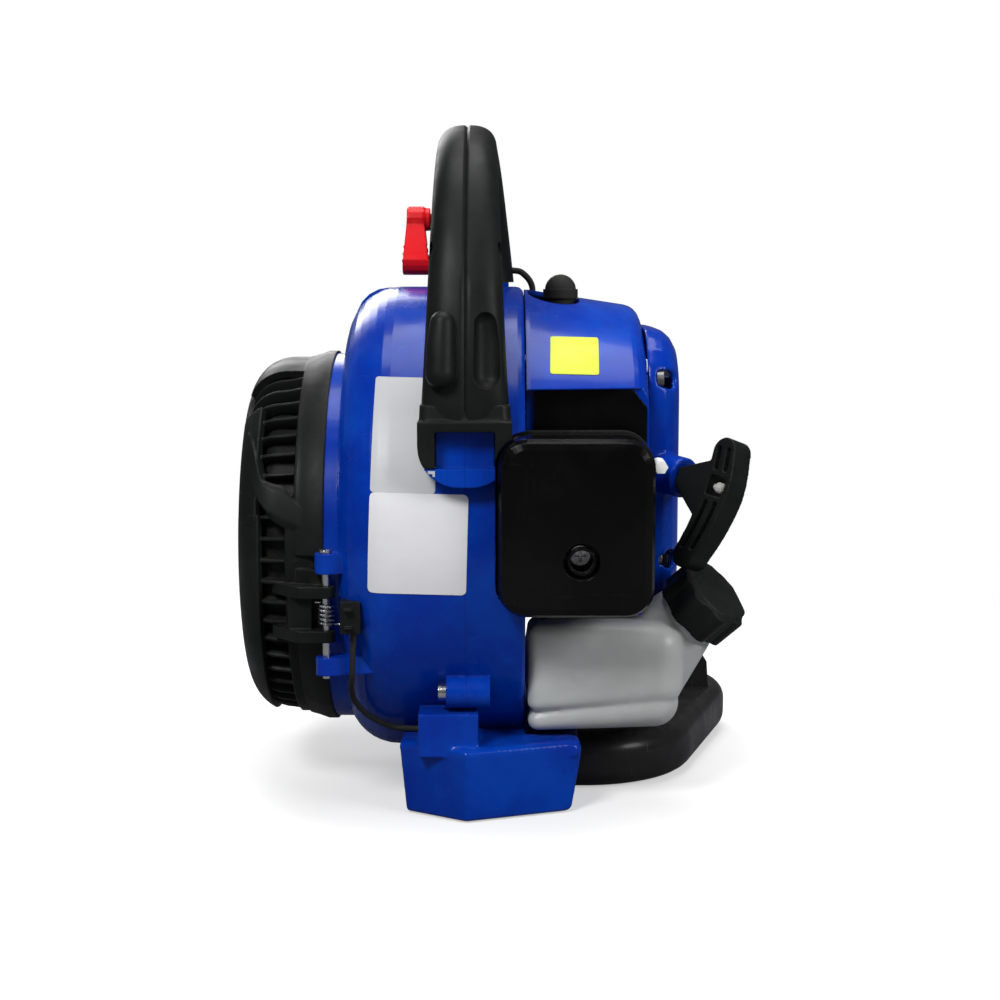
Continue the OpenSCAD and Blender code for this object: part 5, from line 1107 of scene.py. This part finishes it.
def floorMaterial(f=stageSettings):
    # grows into plain white away from the piece, as the camera sees it
    material = bpy.data.materials.new("pale floor")
    material.use_nodes = True
    tree = material.node_tree
    shader = nodeOf(tree, "BSDF_PRINCIPLED")
    seen = addNode(tree, "ShaderNodeLightPath").outputs["Is Camera Ray"]
    where = addNode(tree, "ShaderNodeNewGeometry").outputs["Position"]
    away = addNode(tree, "ShaderNodeVectorMath", {0: where, 1: f["middle"]}, operation="DISTANCE").outputs["Value"]
    fade = mathNode(tree, "MAXIMUM", rangeNode(tree, away, *f["fade"]), f["fadeLeast"])
    setInputs(tree, shader, {"Base Color": mixColor(tree, seen, f["bounce"], f["floor"]), "Roughness": f["rough"]})
    glow = addNode(tree, "ShaderNodeEmission")
    mix = addNode(tree, "ShaderNodeMixShader", {0: product(tree, fade, seen), 1: shader.outputs[0], 2: glow.outputs[0]})
    setInputs(tree, nodeOf(tree, "OUTPUT_MATERIAL"), {"Surface": mix.outputs[0]})
    return material


bpy.ops.mesh.primitive_plane_add(size=stageSettings["size"], location=(0, 0, stageSettings["z"]))
floor = bpy.context.object
floor.name = "floor"
floor.data.materials.append(floorMaterial())

worldSettings = {"diffuse": 0.34, "glossy": 0.1}
world = bpy.data.worlds.new("studio")
bpy.context.scene.world = world
world.use_nodes = True
tree = world.node_tree
path = addNode(tree, "ShaderNodeLightPath").outputs
seen = mathNode(tree, "MAXIMUM", path["Is Camera Ray"], path["Is Transmission Ray"])
dim = addNode(tree, "ShaderNodeMapRange", {
    "Value": path["Is Glossy Ray"], "To Min": worldSettings["diffuse"], "To Max": worldSettings["glossy"]})
strength = mathNode(tree, "MAXIMUM", seen, dim.outputs["Result"])
setInputs(tree, nodeOf(tree, "BACKGROUND"), {"Color": (1, 1, 1, 1), "Strength": strength})

lamps = [
    {"name": "key", "at": (-0.55, -1.15, 1.25), "size": 0.42, "power": 20.0},
    {"name": "fill", "at": (1.15, -0.85, 0.75), "size": 0.5, "power": 11.0},
    {"name": "top", "at": (0.1, 0.1, 1.5), "size": 0.9, "power": 16.0},
    {"name": "rim", "at": (-0.4, 1.1, 0.8), "size": 0.6, "power": 8.0},
]
lampsAimAt = Vector((0.01, 0, 0.17))
for s in lamps:
    lamp = newObject(s["name"], bpy.data.lights.new(s["name"], "AREA"))
    lamp.data.size = s["size"]
    lamp.data.energy = s["power"]
    lamp.location = s["at"]
    lamp.rotation_euler = (lampsAimAt - lamp.location).to_track_quat("-Z", "Y").to_euler()
print("camera and light set")


bpy.context.view_layer.update()
